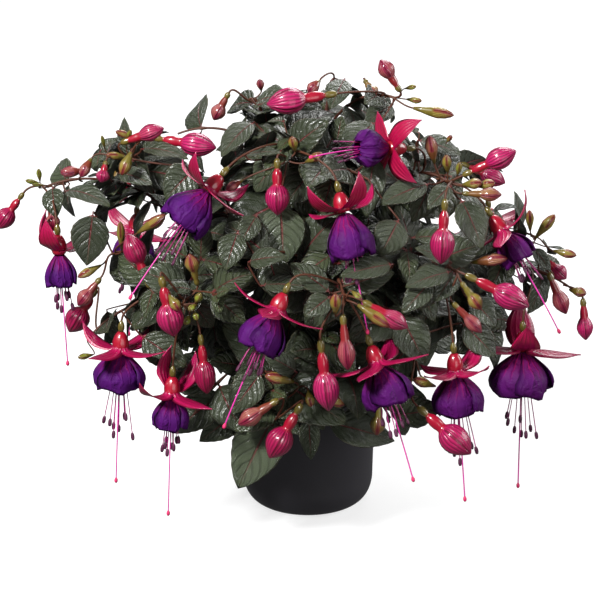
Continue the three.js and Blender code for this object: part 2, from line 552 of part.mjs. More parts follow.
// Corolla: four broad petals that overlap like a rolled skirt, joined in a ring at the top. Each petal has
// one edge inside its neighbour and one outside.
const PETAL_STOPS = [0, 0.35, 0.84, 1];
function makeCorolla(bloom) {
  const { axis, outward, centre } = bloomFrame(bloom);
  const top = SEAT_GAP + COROLLA.ringHalf;
  const place = (down, out, angle) =>
    centre.clone().addScaledVector(axis, down).addScaledVector(outward(angle), out);
  const ring = new THREE.TorusGeometry(COROLLA.ringRadius, COROLLA.ringHalf, 3, 6);
  const points = ring.getAttribute("position");
  for (let i = 0; i < points.count; i++) {
    const flat = Math.hypot(points.getX(i), points.getY(i));
    const at = place(top + points.getZ(i), flat, Math.atan2(points.getY(i), points.getX(i)));
    points.setXYZ(i, ...at);
  }
  const petals = bloom.sepals.map((_, i) => {
    const middle = rad(bloom.turn + 45 + 90 * i);
    return skin(6, PETAL_STOPS, (along, round, open) => {
      const edge = Math.cos(round) * open;
      const down = along * (1 - COROLLA.scallop * edge * edge);
      const swell = Math.sin(Math.min(1, down / COROLLA.fullAt) * (Math.PI / 2));
      const half = rad(COROLLA.halfSpan) * (along < 0.5 ? COROLLA.narrowTop : 1);
      const wide = bloom.spread * (1 + COROLLA.tuck * edge);
      const out = COROLLA.ringRadius + (wide - COROLLA.ringRadius) * swell;
      const thick = (COROLLA.thickness / 2) * Math.sin(round) * open;
      const below = top + down * (bloom.petal - top) - thick * (1 - swell);
      return place(below, out + thick * swell, middle + half * edge);
    });
  });
  return wasm.Manifold.union([solid(ring), ...petals]);
}

// Stamens and style: thin threads that hang out of the corolla, joined at a hub behind it.
function makeStamens(bloom) {
  const { axis, outward, centre } = bloomFrame(bloom);
  const hub = skin(5, [0, 0, 1, 1], (along, round, open) =>
    centre.clone().addScaledVector(axis, SEAT_GAP + along * PISTIL.hubDepth)
      .addScaledVector(outward(round), PISTIL.hubRadius * open));
  const roll = dice(Math.round(bloom.style * 7 + bloom.turn));
  const thread = (angle, out, splay, length, stops, radii) => {
    const way = axis.clone().addScaledVector(outward(angle), Math.tan(rad(splay))).normalize();
    const root = centre.clone().addScaledVector(axis, SEAT_GAP + PISTIL.rootDown)
      .addScaledVector(outward(angle), out);
    const points = stops.map((stop) => {
      const point = root.clone().addScaledVector(way, stop);
      point.z -= (PISTIL.sag * stop * stop) / length;
      return point;
    });
    return loft(3, points, radii);
  };
  const stamens = Array.from({ length: PISTIL.stamens }, (_, i) => {
    const { filament, anther, antherLength } = PISTIL;
    const length = bloom.stamen * (0.8 + 0.3 * roll());
    const angle = rad((360 / PISTIL.stamens) * i + 20 * roll());
    const splay = PISTIL.splay * (0.7 + 0.6 * roll());
    const stops = [0, 0, length - antherLength, length - antherLength / 2, length];
    return thread(angle, PISTIL.rootOut, splay, length, stops, [0, filament, filament, anther, 0]);
  });
  const stigma = bloom.style - PISTIL.stigmaLength;
  const stops = [0, 0, bloom.style / 2, stigma, (stigma + bloom.style) / 2, bloom.style];
  const style = thread(0, 0, 0, bloom.style, stops,
    [0, PISTIL.style, PISTIL.style, PISTIL.style, PISTIL.stigma, 0]);
  return wasm.Manifold.union([hub, style, ...stamens]);
}

// ---------------------------------------------------------------- putting the plant together
// Each piece is kept with its node, its box, and the shoot that it is the bar of.
const placed = [];
function keep(node, made, shoot = null) {
  placed.push({ node, made, box: made.boundingBox(), shoot });
}
const boxesMeet = (a, b) => [0, 1, 2].every((k) => a.min[k] < b.max[k] && b.min[k] < a.max[k]);
function isClear(room, others) {
  const box = room.boundingBox();
  return others.every((other) => !boxesMeet(box, other.box) || room.intersect(other.made).isEmpty());
}

keep("pot", makePot());
keep("soil", makeSoil());
const shoots = {};
for (const [name, list] of Object.entries(STEMS)) {
  shoots[name] = [];
  for (const shoot of list) {
    const grown = { ...shoot, curve: shootCurve(shoot, shoots[name]) };
    shoots[name].push(grown);
    keep(name, shootSolid(grown), grown);
  }
}
BLOOMS.forEach((bloom, i) => {
  const number = String(i + 1).padStart(2, "0");
  keep(bloom.on, bloomStalk(bloom, shoots[bloom.on]));
  keep(`bloom_${number}_calyx`, makeCalyx(bloom));
  keep(`bloom_${number}_corolla`, makeCorolla(bloom));
  keep(`bloom_${number}_stamens`, makeStamens(bloom));
});
for (const [name, list] of Object.entries(BUDS)) {
  for (const bud of list) keep(name, budSolid(bud, shoots[name]));
}

// A leaf's blade is kept off the other pieces of its own stem, and its room off all other nodes. A leaf
// that finds no clear way to stand is left out.
function growLeaf(name, shoot, along, turn, spread, length, droop) {
  const others = placed.filter((other) => other.node !== name);
  const near = placed.filter((other) => other.node === name && other.shoot !== shoot);
  const ways = ASIDE.map(([round, out, smaller]) =>
    leafOn(shoot, along, turn + round, spread + out, length * smaller, droop));
  const leaf = ways.find((way) => isClear(bladeSolid(way), near) && isClear(leafRoom(way), others));
  if (leaf) keep(name, leafSolid(leaf));
}

// Leaves stand in pairs, each pair a quarter turn on from the last, and the youngest at the tip are small.
Object.entries(shoots).forEach(([name, list], stemNumber) => {
  for (const [shootNumber, shoot] of list.entries()) {
    const roll = dice(stemNumber * 97 + shootNumber * 31 + 5);
    const bare = shoot.foot ? SHOOT.bare : SHOOT.sideBare;
    for (let pair = 0; pair < shoot.pairs; pair++) {
      const along = bare + ((SHOOT.lastPair - bare) * (pair + 0.5)) / shoot.pairs;
      const age = Math.max(0, along - LEAF.youngFrom) / (1 - LEAF.youngFrom);
      for (const half of [0, 180]) {
        const turn = 90 * pair + 45 + half + 30 * (roll() - 0.5);
        const spread = LEAF.spread + 20 * roll();
        const length = LEAF.length * shoot.size * (1 - LEAF.young * age) * (0.85 + 0.3 * roll());
        const droop = LEAF.droop * (0.6 + 0.8 * roll());
        growLeaf(name, shoot, along, turn, spread, length, droop);
      }
    }
  }
});

// ---------------------------------------------------------------- the scene graph
const plant = new THREE.Group();
const materialOf = (name) => {
  if (name === "pot") return BLACK;
  if (name === "soil") return PEAT;
  if (name.endsWith("calyx")) return CRIMSON;
  if (name.endsWith("corolla")) return PURPLE;
  return name.endsWith("stamens") ? MAGENTA : GREEN;
};
for (const name of new Set(placed.map((piece) => piece.node))) {
  const pieces = placed.filter((piece) => piece.node === name).map((piece) => piece.made);
  const joined = wasm.Manifold.union(pieces).asOriginal().simplify(MERGE_UNDER);
  const [largest] = joined.decompose().sort((a, b) => b.volume() - a.volume());
  const { numProp, vertProperties, triVerts } = largest.getMesh();
  const points = new Float32Array((vertProperties.length / numProp) * 3);
  for (let i = 0; i < points.length / 3; i++) {
    points.set(vertProperties.subarray(i * numProp, i * numProp + 3), i * 3);
  }
  const geometry = new THREE.BufferGeometry();
  geometry.setAttribute("position", new THREE.BufferAttribute(points, 3));
  geometry.setIndex(new THREE.BufferAttribute(triVerts, 1));
  geometry.computeVertexNormals();
  const mesh = new THREE.Mesh(geometry, materialOf(name));
  mesh.name = name;
  plant.add(mesh);
}

export default plant;
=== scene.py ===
"""The looks of a trailing fuchsia in a round pot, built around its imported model.

The plant's sizes are in millimetres, as in the model's own source, and MM turns them into Blender's metres
where a mesh is made. +Z is up, the origin is the middle of the pot's base, and the flowers face -Y.
"""
import math
from collections import namedtuple

import bpy
import numpy as np
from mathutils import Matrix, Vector
from mathutils.bvhtree import BVHTree
from mathutils.kdtree import KDTree


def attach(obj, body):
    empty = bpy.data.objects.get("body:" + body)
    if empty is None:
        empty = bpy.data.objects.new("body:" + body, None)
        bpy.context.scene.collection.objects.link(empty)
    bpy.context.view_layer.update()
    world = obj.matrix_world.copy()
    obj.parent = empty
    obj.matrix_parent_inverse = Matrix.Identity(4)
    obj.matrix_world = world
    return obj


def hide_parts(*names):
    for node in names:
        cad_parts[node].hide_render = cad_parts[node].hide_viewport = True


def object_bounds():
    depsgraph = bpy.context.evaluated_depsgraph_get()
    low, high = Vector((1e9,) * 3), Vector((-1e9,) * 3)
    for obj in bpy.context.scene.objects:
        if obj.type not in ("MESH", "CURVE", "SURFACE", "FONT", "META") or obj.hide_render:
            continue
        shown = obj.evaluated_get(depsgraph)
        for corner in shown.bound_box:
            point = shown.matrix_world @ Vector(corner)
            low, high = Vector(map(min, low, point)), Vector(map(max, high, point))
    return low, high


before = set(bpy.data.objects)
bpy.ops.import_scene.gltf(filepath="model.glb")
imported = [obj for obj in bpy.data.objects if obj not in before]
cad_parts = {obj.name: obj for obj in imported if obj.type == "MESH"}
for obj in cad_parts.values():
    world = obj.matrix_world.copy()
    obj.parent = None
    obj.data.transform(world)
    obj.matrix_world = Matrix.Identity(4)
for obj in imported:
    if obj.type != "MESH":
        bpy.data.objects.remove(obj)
cad_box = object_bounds()

# ---------------------------------------------------------------- studio
# A pale floor that runs past every view, a pale sky for soft light, and four large soft lamps. The camera
# looks down on the pot from 1.6 m, as a product photograph of a small plant does.
MM = 0.001
AIM = Vector((-6.1, 0, 162.2)) * MM
CAMERA_AWAY = 1.6
CAMERA_ABOVE = math.radians(20)
FLOOR_RADIUS = 14


def put(name, data):
    """A new object in the scene."""
    made = bpy.data.objects.new(name, data)
    bpy.context.collection.objects.link(made)
    return made


camera = put("camera", bpy.data.cameras.new("camera"))
camera.data.sensor_width = 36
camera.data.lens = 125.3
camera.location = AIM + CAMERA_AWAY * Vector((0, -math.cos(CAMERA_ABOVE), math.sin(CAMERA_ABOVE)))
camera.rotation_euler = (math.pi / 2 - CAMERA_ABOVE, 0, 0)
bpy.context.scene.camera = camera
bpy.context.scene.view_settings.view_transform = "Standard"


def soft_lamp(name, place, size, watts):
    """A square lamp that looks at the middle of the plant."""
    lamp = put(name, bpy.data.lights.new(name, "AREA"))
    lamp.data.size = size
    lamp.data.energy = watts
    lamp.location = place
    lamp.rotation_euler = (AIM - Vector(place)).to_track_quat("-Z", "Y").to_euler()


soft_lamp("key", (-1.1, -1.3, 1.7), 0.4, 92)
soft_lamp("fill", (0.8, -1.7, 0.5), 1.2, 12)
soft_lamp("back", (0.4, 1.5, 1.5), 0.9, 34)
soft_lamp("side", (1.7, 0.3, 0.8), 0.9, 24)

world = bpy.data.worlds.new("sky")
bpy.context.scene.world = world
world.use_nodes = True
world.node_tree.nodes["Background"].inputs["Color"].default_value = (1, 1, 1, 1)
world.node_tree.nodes["Background"].inputs["Strength"].default_value = 0.15


class Signal:
    """A value in a node tree. Arithmetic on it adds Math nodes."""

    def __init__(self, graph, socket):
        self.graph = graph
        self.socket = socket

    def math(self, operation, *values):
        return self.graph.node("ShaderNodeMath", {"operation": operation}, dict(enumerate(values)))

    def __add__(self, other):
        return self.math("ADD", self, other)

    def __sub__(self, other):
        return self.math("SUBTRACT", self, other)

    def __rsub__(self, other):
        return self.math("SUBTRACT", other, self)

    def __mul__(self, other):
        return self.math("MULTIPLY", self, other)

    def __pow__(self, other):
        return self.math("POWER", self, other)

    def __abs__(self):
        return self.math("ABSOLUTE", self)

    __radd__ = __add__
    __rmul__ = __mul__

    def wave(self):
        """A wave from 0 to 1 along the value."""
        return self.math("SINE", self) * 0.5 + 0.5

    def clamped(self):
        return self.math("MAXIMUM", self.math("MINIMUM", self, 1), 0)

    def step(self, low, high):
        """0 where the value is under low, 1 where it is over high, and smooth between."""
        inputs = {"Value": self, "From Min": low, "From Max": high}
        return self.graph.node("ShaderNodeMapRange", {"interpolation_type": "SMOOTHSTEP"}, inputs)


class Graph:
    """A node tree that is written as expressions."""

    def node(self, kind, settings=(), inputs=(), output=0):
        """Adds a node. Its settings are set first, and then its inputs, from values or from signals."""
        made = self.tree.nodes.new(kind)
        for key, value in dict(settings).items():
            setattr(made, key, value)
        for key, value in dict(inputs).items():
            self.feed(made.inputs[key], value)
        return Signal(self, made.outputs[output])

    def feed(self, socket, value):
        if isinstance(value, Signal):
            self.tree.links.new(value.socket, socket)
        elif isinstance(value, tuple) and len(value) == 3 and len(socket.default_value) == 4:
            socket.default_value = (*value, 1)
        else:
            socket.default_value = value


class Finish(Graph):
    """A material. Its constants are given by socket name, and what varies over it is fed in later."""

    def __init__(self, name, **constants):
        self.material = bpy.data.materials.new(name)
        self.material.use_nodes = True
        self.tree = self.material.node_tree
        for socket, value in constants.items():
            self.set(socket.replace("_", " "), value)

    def set(self, socket, value):
        self.feed(self.tree.nodes["Principled BSDF"].inputs[socket], value)

    def attribute(self, name):
        """The three numbers that a mesh's attribute holds."""
        vector = self.node("ShaderNodeAttribute", {"attribute_name": name}, output="Vector")
        made = self.node("ShaderNodeSeparateXYZ", inputs={0: vector})
        return [Signal(self, made.socket.node.outputs[i]) for i in range(3)]

    def noise(self, scale, detail):
        place = self.node("ShaderNodeTexCoord", output="Object")
        return self.node("ShaderNodeTexNoise", inputs={"Vector": place, "Scale": scale, "Detail": detail})

    def blend(self, share, low, high):
        """A colour between low and high."""
        return self.node("ShaderNodeMix", {"data_type": "RGBA"}, {0: share, 6: low, 7: high}, output=2)

    def coats(self, colour, *coats):
        """A colour under coats of others. Each coat is the share that it covers and its colour."""
        for share, coat in coats:
            colour = self.blend(share, colour, coat)
        return colour

    def bump(self, height, distance, strength=1.0):
        inputs = {"Height": height, "Distance": distance, "Strength": strength}
        self.set("Normal", self.node("ShaderNodeBump", inputs=inputs))


paper = Finish("floor_paper", Roughness=0.9, Emission_Color=(1, 1, 1), Emission_Strength=0.7)
paper.set("Base Color", paper.blend(paper.noise(3, 2), (0.34, 0.34, 0.34), (0.36, 0.36, 0.36)))
floor_mesh = bpy.data.meshes.new("floor")
floor_turns = [2 * math.pi * i / 64 for i in range(64)]
floor_edge = [(FLOOR_RADIUS * math.cos(turn), FLOOR_RADIUS * math.sin(turn), 0) for turn in floor_turns]
floor_mesh.from_pydata(floor_edge, [], [range(64)])
floor_mesh.materials.append(paper.material)
floor = put("floor", floor_mesh)
floor.visible_diffuse = False
floor.visible_glossy = False


# ---------------------------------------------------------------- pot
# One smooth moulded pot of near-black plastic, with a rounded foot, a slightly flared side, a rolled lip and
# four drain holes. It is turned from one profile, and the holes are drilled.
POT = {"base": 40, "side": 51, "rim": 52.5, "height": 92, "corner": 19, "wall": 2.2, "floor": 3, "inset": 1,
       "lip_out": 1.2, "lip_deep": 6, "lip_round": 0.9, "inner_corner": 5, "sides": 128}
DRAINS = {"count": 4, "radius": 4, "ring": 24}


def arc(middle, radius, start, end, steps):
    """Points on an arc in the plane of radius and height. radius is a number, or one for each way."""
    wide, high = radius if isinstance(radius, tuple) else (radius, radius)
    turns = np.radians(np.linspace(start, end, steps + 1))
    return [(middle[0] + wide * math.cos(turn), middle[1] + high * math.sin(turn)) for turn in turns]


def new_piece(name, mesh, finishes, slot, *nodes):
    """A finished piece in the scene. It rides on the root body and replaces the named nodes."""
    for finish in finishes:
        mesh.materials.append(finish.material)
    mesh.shade_smooth()
    piece = put(name, mesh)
    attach(piece, "root")
    if nodes:
        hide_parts(*nodes)


def closed_rings(grid, start, end):
    """Points and faces of a skin over rings, closed by a point at each end, with its faces outwards."""
    rows, columns = grid.shape[:2]
    points = np.vstack([np.array(start)[None], grid.reshape(-1, 3), np.array(end)[None]])
    ring = np.arange(columns)
    after = (ring + 1) % columns
    lower = 1 + columns * np.arange(rows - 1)[:, None]
    quads = [lower + ring, lower + after, lower + columns + after, lower + columns + ring]
    quads = np.stack(quads, axis=2).reshape(-1, 4)
    top = 1 + columns * (rows - 1)
    first = np.stack([0 * ring, 1 + after, 1 + ring], axis=1)
    last = np.stack([0 * ring + len(points) - 1, top + ring, top + after], axis=1)
    faces = [*first.tolist(), *quads.tolist(), *last.tolist()]
    a, b, c = (points - points.mean(axis=0))[np.vstack([first, quads[:, :3], quads[:, [0, 2, 3]], last]).T]
    if np.einsum("ij,ij->", a, np.cross(b, c)) < 0:
        faces = [face[::-1] for face in faces]
    return points, faces


def revolve(profile, sides):
    """A closed skin turned from a profile that starts and ends on the axis."""
    turns = np.linspace(0, 2 * np.pi, sides, endpoint=False)
    radius, level = np.array(profile[1:-1]).T[:, :, None]
    grid = np.stack(np.broadcast_arrays(radius * np.cos(turns), radius * np.sin(turns), level), axis=2)
    return closed_rings(grid, (0, 0, profile[0][1]), (0, 0, profile[-1][1]))


def mesh_of(name, points, faces):
    mesh = bpy.data.meshes.new(name)
    mesh.from_pydata((np.asarray(points) * MM).tolist(), [], faces)
    mesh.validate()
    return mesh


def drilled(mesh, x, y, radius, low, high, sides):
    """The mesh with a plain upright hole."""
    points, faces = revolve([(0, low), (radius, low), (radius, high), (0, high)], sides)
    body = put("body", mesh)
    tool = put("tool", mesh_of("tool", points + (x, y, 0), faces))
    boolean = body.modifiers.new("cut", "BOOLEAN")
    boolean.object = tool
    boolean.solver = "EXACT"
    made = bpy.data.meshes.new_from_object(body.evaluated_get(bpy.context.evaluated_depsgraph_get()))
    for ob in (body, tool):
        bpy.data.objects.remove(ob)
    return made


plastic = Finish("pot_plastic", Specular_IOR_Level=0.35)
plastic_cloud = plastic.noise(22, 4)
plastic.set("Base Color", plastic.blend(plastic_cloud, (0.022, 0.0205, 0.0245), (0.031, 0.029, 0.034)))
plastic.set("Roughness", 0.4 + 0.14 * plastic_cloud)
plastic.bump(plastic.noise(900, 2), 0.00008, 0.5)

lip_x = POT["rim"] + POT["lip_out"]
lip_low = POT["height"] - POT["lip_deep"]
turn_in = POT["lip_round"]
inner_round = POT["inner_corner"]
pot_profile = [
    (0, 0), (POT["base"] * 0.6, 0),
    *arc((POT["base"], POT["corner"]), (POT["side"] - POT["base"], POT["corner"]), -90, 0, 14),
    (POT["rim"] - 0.2, lip_low - 0.5), (POT["rim"] + 0.1, lip_low - 0.1),
    *arc((lip_x - turn_in, lip_low + turn_in), turn_in, -90, 0, 4),
    *arc((lip_x - turn_in, POT["height"] - turn_in), turn_in, 0, 90, 5),
    *arc((POT["rim"] - POT["wall"] + turn_in, POT["height"] - turn_in), turn_in, 90, 180, 5),
    (POT["side"] - POT["wall"], POT["corner"]),
    *arc((POT["base"] - inner_round, POT["floor"] + inner_round), inner_round, 0, -90, 4),
    (0, POT["floor"]),
]
pot_mesh = mesh_of("pot", *revolve(pot_profile, POT["sides"]))
for i in range(DRAINS["count"]):
    turn = 2 * math.pi * (i + 0.5) / DRAINS["count"]
    hole_at = DRAINS["ring"] * math.cos(turn), DRAINS["ring"] * math.sin(turn)
    pot_mesh = drilled(pot_mesh, *hole_at, DRAINS["radius"], -5, 10, 24)
new_piece("flower_pot", pot_mesh, [plastic], "pot", "pot")
pot_mesh.set_sharp_from_angle(angle=math.radians(50))


# ---------------------------------------------------------------- soil
# Dark, moist potting compost that fills the pot to 10 mm under its rim. Its top is a low mound with lumps.
# Crumbs of bark and peat are scattered over it by a tree of nodes. Each stem stands in a plain hole in it.
SOIL = {"top": 82, "mound": 3, "lump": 0.9, "grit": 0.35, "gap": 0.6, "crumb": 1.6, "crumbs": 0.11}


class Recipe(Graph):
    """A tree of Geometry Nodes with named inputs, which turns an object's mesh into a plain new one."""

    def __init__(self, name, **inputs):
        self.tree = bpy.data.node_groups.new(name, "GeometryNodeTree")
        self.tree.interface.new_socket("Shape", in_out="INPUT", socket_type="NodeSocketGeometry")
        self.tree.interface.new_socket("Shape", in_out="OUTPUT", socket_type="NodeSocketGeometry")
        for label, kind in inputs.items():
            self.tree.interface.new_socket(label, in_out="INPUT", socket_type="NodeSocket" + kind)
        self.given = self.tree.nodes.new("NodeGroupInput")
        self.result = self.tree.nodes.new("NodeGroupOutput")

    def ask(self, label):
        return Signal(self, self.given.outputs[label])

    def end(self, shape):
        """Every tree ends in real meshes with their material."""
        real = self.node("GeometryNodeRealizeInstances", inputs={0: shape})
        inputs = {"Geometry": real, "Material": self.ask("Finish")}
        self.feed(self.result.inputs[0], self.node("GeometryNodeSetMaterial", inputs=inputs))

    def make(self, name, mesh, **values):
        worker = put("worker", mesh)
        modifier = worker.modifiers.new("recipe", "NODES")
        modifier.node_group = self.tree
        for item in self.tree.interface.items_tree:
            if item.in_out == "INPUT" and item.name in values:
                modifier[item.identifier] = values[item.name]
        depsgraph = bpy.context.evaluated_depsgraph_get()
        made = bpy.data.meshes.new_from_object(
            worker.evaluated_get(depsgraph), preserve_all_data_layers=True, depsgraph=depsgraph)
        worker.modifiers.remove(modifier)
        bpy.data.objects.remove(worker)
        made.name = name
        return made


earth = Finish("compost", Roughness=0.95, Specular_IOR_Level=0.2)
earth_grain = earth.noise(420, 6)
earth_base = earth.blend(earth_grain, (0.012, 0.007, 0.004), (0.07, 0.04, 0.022))
earth.set("Base Color", earth.blend(earth.noise(160, 2).step(0.62, 0.68), earth_base, (0.13, 0.075, 0.04)))
earth.bump(earth_grain, 0.0012)

flare = (POT["rim"] - POT["side"]) / (lip_low - POT["corner"])
soil_radius = POT["side"] + (SOIL["top"] - POT["corner"]) * flare - POT["wall"] - SOIL["gap"]
soil_foot = POT["floor"] + 0.3
soil_turns = np.linspace(0, 2 * np.pi, 120, endpoint=False)


def soil_level(radius, turn):
    lump = SOIL["lump"] * np.sin(3 * turn + radius * 0.31) * np.cos(5 * turn - radius * 0.17)
    grit = SOIL["grit"] * np.sin(radius * 2.1 + 9 * turn) * np.sin(radius * 1.3 - 14 * turn)
    return SOIL["top"] + SOIL["mound"] * np.cos(radius / soil_radius * np.pi / 2) + lump + grit


soil_profile = [(radius, soil_level(radius, soil_turns)) for radius in np.linspace(1.5, soil_radius, 40)]
soil_profile.append((POT["side"] - POT["wall"] - SOIL["gap"], POT["corner"]))
soil_profile.append((POT["base"] - POT["inset"] - 2 * SOIL["gap"], soil_foot))
soil_rings = np.array([
    np.stack(np.broadcast_arrays(radius * np.cos(soil_turns), radius * np.sin(soil_turns), level), axis=1)
    for radius, level in soil_profile])
soil_mesh = mesh_of("soil", *closed_rings(soil_rings, (0, 0, soil_level(0, 0)), (0, 0, soil_foot)))

crumble = Recipe("soil_crumbs", Density="Float", Size="Float", Seed="Int", Finish="Material")
upward = crumble.node("ShaderNodeSeparateXYZ", inputs={0: crumble.node("GeometryNodeInputNormal")}, output=2)
spots = crumble.node("GeometryNodeDistributePointsOnFaces", inputs={
    "Mesh": crumble.ask("Shape"), "Density": crumble.ask("Density"), "Seed": crumble.ask("Seed"),
    "Selection": crumble.node("FunctionNodeCompare", {"operation": "GREATER_THAN"}, {0: upward, 1: 0.3})})
crumb = crumble.node("GeometryNodeMeshIcoSphere", inputs={"Radius": crumble.ask("Size"), "Subdivisions": 1})
sizes, turns = (
    crumble.node("FunctionNodeRandomValue", {"data_type": "FLOAT_VECTOR"},
                 {"Min": least, "Max": most, "Seed": crumble.ask("Seed")})
    for least, most in (((0.25, 0.25, 0.2), (1.1, 1, 0.7)), ((0, 0, 0), (6.3, 6.3, 6.3))))
crumble.end(crumble.node("GeometryNodeInstanceOnPoints", inputs={
    "Points": spots, "Instance": crumb, "Rotation": turns, "Scale": sizes}))
crumb_mesh = crumble.make("soil_crumbs", soil_mesh.copy(), Density=SOIL["crumbs"] / MM**2,
                          Size=SOIL["crumb"] * MM, Seed=4, Finish=earth.material)
new_piece("soil_crumbs", crumb_mesh, [], "soil")


# ---------------------------------------------------------------- stems
# Thin dark red woody stems with side shoots, which stand in the soil, arch over the rim and hang at the tips.
# Each follows the same curve as its solid in the model. A tree of nodes sweeps a round rod along each path.
STEM = {"foot": 2.1, "side": 1.26, "tip": 0.8, "depth": 16, "neck": 5, "hole": 2.8, "hole_deeper": 0.3,
        "hole_top": 100}
SHOOT = {"rise": 0.45, "rise_crest": 0.5, "leave": 0.3, "side_crest": 0.6, "bare": 0.46, "side_bare": 0.34,
         "last_pair": 0.985, "knuckle": 0.55, "knuckle_long": 0.018}
UP = np.array([0.0, 0.0, 1.0])
# The first shoot of each is the stem itself, from its foot in the soil. The others leave it at a share of its
# length. Then come tip, crest, lean, pairs of leaves, size of leaves, and whether twigs grow on the shoot.
STEMS = {
    "stem_far_left": [
        ((-31, -3), (-197, -20, 258), 34, 0.5, 4, 0.9),
        (0.62, (-130, -44, 287), 16, 0.6, 2, 0.85),
        (0.14, (-92, 4, 112), 30, 0.5),
    ],
    "stem_left": [
        ((-24, -19), (-162, -72, 158), 62, 0.6, 3, 1),
        (0.5, (-88, -128, 206), 26, 0.5, 2, 1),
        (0.62, (-141, -78, 226), 10, 0.5, 0, 1, False),
    ],
    "stem_front_low": [
        ((-5, -35), (-26, -118, 108), 62, 0.55, 4, 1.25),
        (0.42, (-84, -96, 108), 56, 0.5, 2, 1.2),
        (0.46, (60, -98, 106), 54, 0.5, 3, 1.2),
    ],
    "stem_front": [
        ((2, -20), (25, -148, 217), 30, 0.45, 3, 1.1),
        (0.55, (-42, -132, 236), 22, 0.5, 2, 1),
    ],
    "stem_crown_front": [
        ((-8, -4), (-15, -88, 300), 26, 0.35, 3, 1.1),
        (0.6, (42, -92, 286), 14, 0.5, 2, 1),
    ],
    "stem_crown_left": [
        ((-16, 10), (-44, 0, 320), 12, 0.4, 3, 1),
        (0.55, (-98, 14, 290), 26, 0.5, 2, 0.95),
    ],
    "stem_crown_right": [
        ((6, 10), (20, 12, 333), 8, 0.4, 3, 0.95),
        (0.6, (64, -18, 326), 12, 0.5, 2, 0.85),
    ],
    "stem_right_high": [
        ((20, -8), (100, -80, 280), 26, 0.45, 3, 1),
    ],
    "stem_right_front": [
        ((20, -26), (103, -120, 227), 30, 0.5, 3, 1.05),
        (0.45, (80, -112, 146), 44, 0.5, 3, 1.15),
    ],
    "stem_far_right": [
        ((34, -6), (194, -58, 192), 48, 0.55, 3, 0.85),
        (0.6, (166, -58, 232), 20, 0.5, 2, 0.75),
        (0.42, (132, -62, 146), 40, 0.5, 2, 1.1),
        (0.14, (90, 2, 112), 30, 0.5),
    ],
    "stem_back_left": [
        ((-20, 25), (-128, 92, 232), 40, 0.5, 4, 1.05),
        (0.45, (-78, 118, 132), 56, 0.5, 3, 1.15),
        (0.5, (-76, 124, 222), 30, 0.5),
        (0.2, (-52, 82, 98), 44, 0.5),
        (0.14, (-88, 42, 106), 30, 0.5),
    ],
    "stem_back": [
        ((0, 32), (-6, 148, 218), 40, 0.45, 4, 1.1),
        (0.5, (6, 84, 292), 20, 0.5, 2, 1),
        (0.5, (62, 126, 224), 30, 0.5),
        (0.12, (-2, 96, 98), 40, 0.5),
    ],
    "stem_back_right": [
        ((22, 24), (128, 90, 238), 40, 0.5, 4, 1.05),
        (0.45, (80, 118, 132), 56, 0.5, 3, 1.15),
        (0.14, (84, 50, 106), 30, 0.5),
        (0.2, (48, 88, 98), 44, 0.5),
    ],
}


def vec(*values):
    return np.array(values, float)


def unit(vector):
    return vector / np.linalg.norm(vector)


def between(low, high, share):
    return low + (high - low) * share


class Bend:
    """A curve with four control points. The model's own bar for it is straight between a few steps."""

    def __init__(self, *controls, bars=4):
        self.controls = np.array(controls, float)
        self.bars = bars

    def at(self, share):
        t = np.asarray(share, float)[..., None]
        a, b, c, d = self.controls
        return a * (1 - t)**3 + 3 * b * t * (1 - t)**2 + 3 * c * t * t * (1 - t) + d * t**3

    def along(self, t):
        """The unit direction of the curve."""
        a, b, c, d = self.controls
        return unit((b - a) * (1 - t)**2 + 2 * (c - b) * t * (1 - t) + (d - c) * t * t)

    def on_bar(self, share):
        step = min(self.bars - 1, math.floor(share * self.bars))
        ends = self.at(step / self.bars), self.at((step + 1) / self.bars)
        return between(*ends, share * self.bars - step)


class Shoot:
    """A stem that stands in the soil, or a side shoot of one. places are where its pairs of leaves stand."""

    def __init__(self, stem, parent, start, tip, crest, lean, pairs=0, size=1, twigs=True):
        self.stem, self.main, self.size, self.twigs = stem, parent is None, size, twigs
        tip = vec(*tip)
        if self.main:
            self.foot = start
            start = vec(*start, SOIL["top"] + STEM["neck"])
            rise = SHOOT["rise"] * (tip[2] - SOIL["top"])
            leave = vec(start[0], start[1], SOIL["top"] + rise + crest * SHOOT["rise_crest"])
            top = tip[2] + crest
        else:
            leave = parent.along(start) * SHOOT["leave"]
            start = parent.on_bar(start)
            leave = start + leave * np.linalg.norm(tip - start)
            top = max(start[2], tip[2]) + crest * SHOOT["side_crest"]
        over = between(start, tip, lean)
        over[2] = top
        self.bend = Bend(start, leave, over, tip, bars=6 if self.main else 4)
        bare = SHOOT["bare" if self.main else "side_bare"]
        self.places = [bare + (SHOOT["last_pair"] - bare) * (pair + 0.5) / pairs for pair in range(pairs)]


shoots = {}
for stem_name, (main_row, *side_rows) in STEMS.items():
    main_shoot = Shoot(stem_name, None, *main_row)
    shoots[stem_name] = [main_shoot, *(Shoot(stem_name, main_shoot.bend, *row) for row in side_rows)]
all_shoots = [shoot for stem_shoots in shoots.values() for shoot in stem_shoots]


def write_layer(mesh, name, kind, field, values):
    """Gives each point of a mesh its own number, or three of them."""
    layer = mesh.attributes.new(name, kind, "POINT")
    layer.data.foreach_set(field, np.array(values).astype(np.float32).ravel())


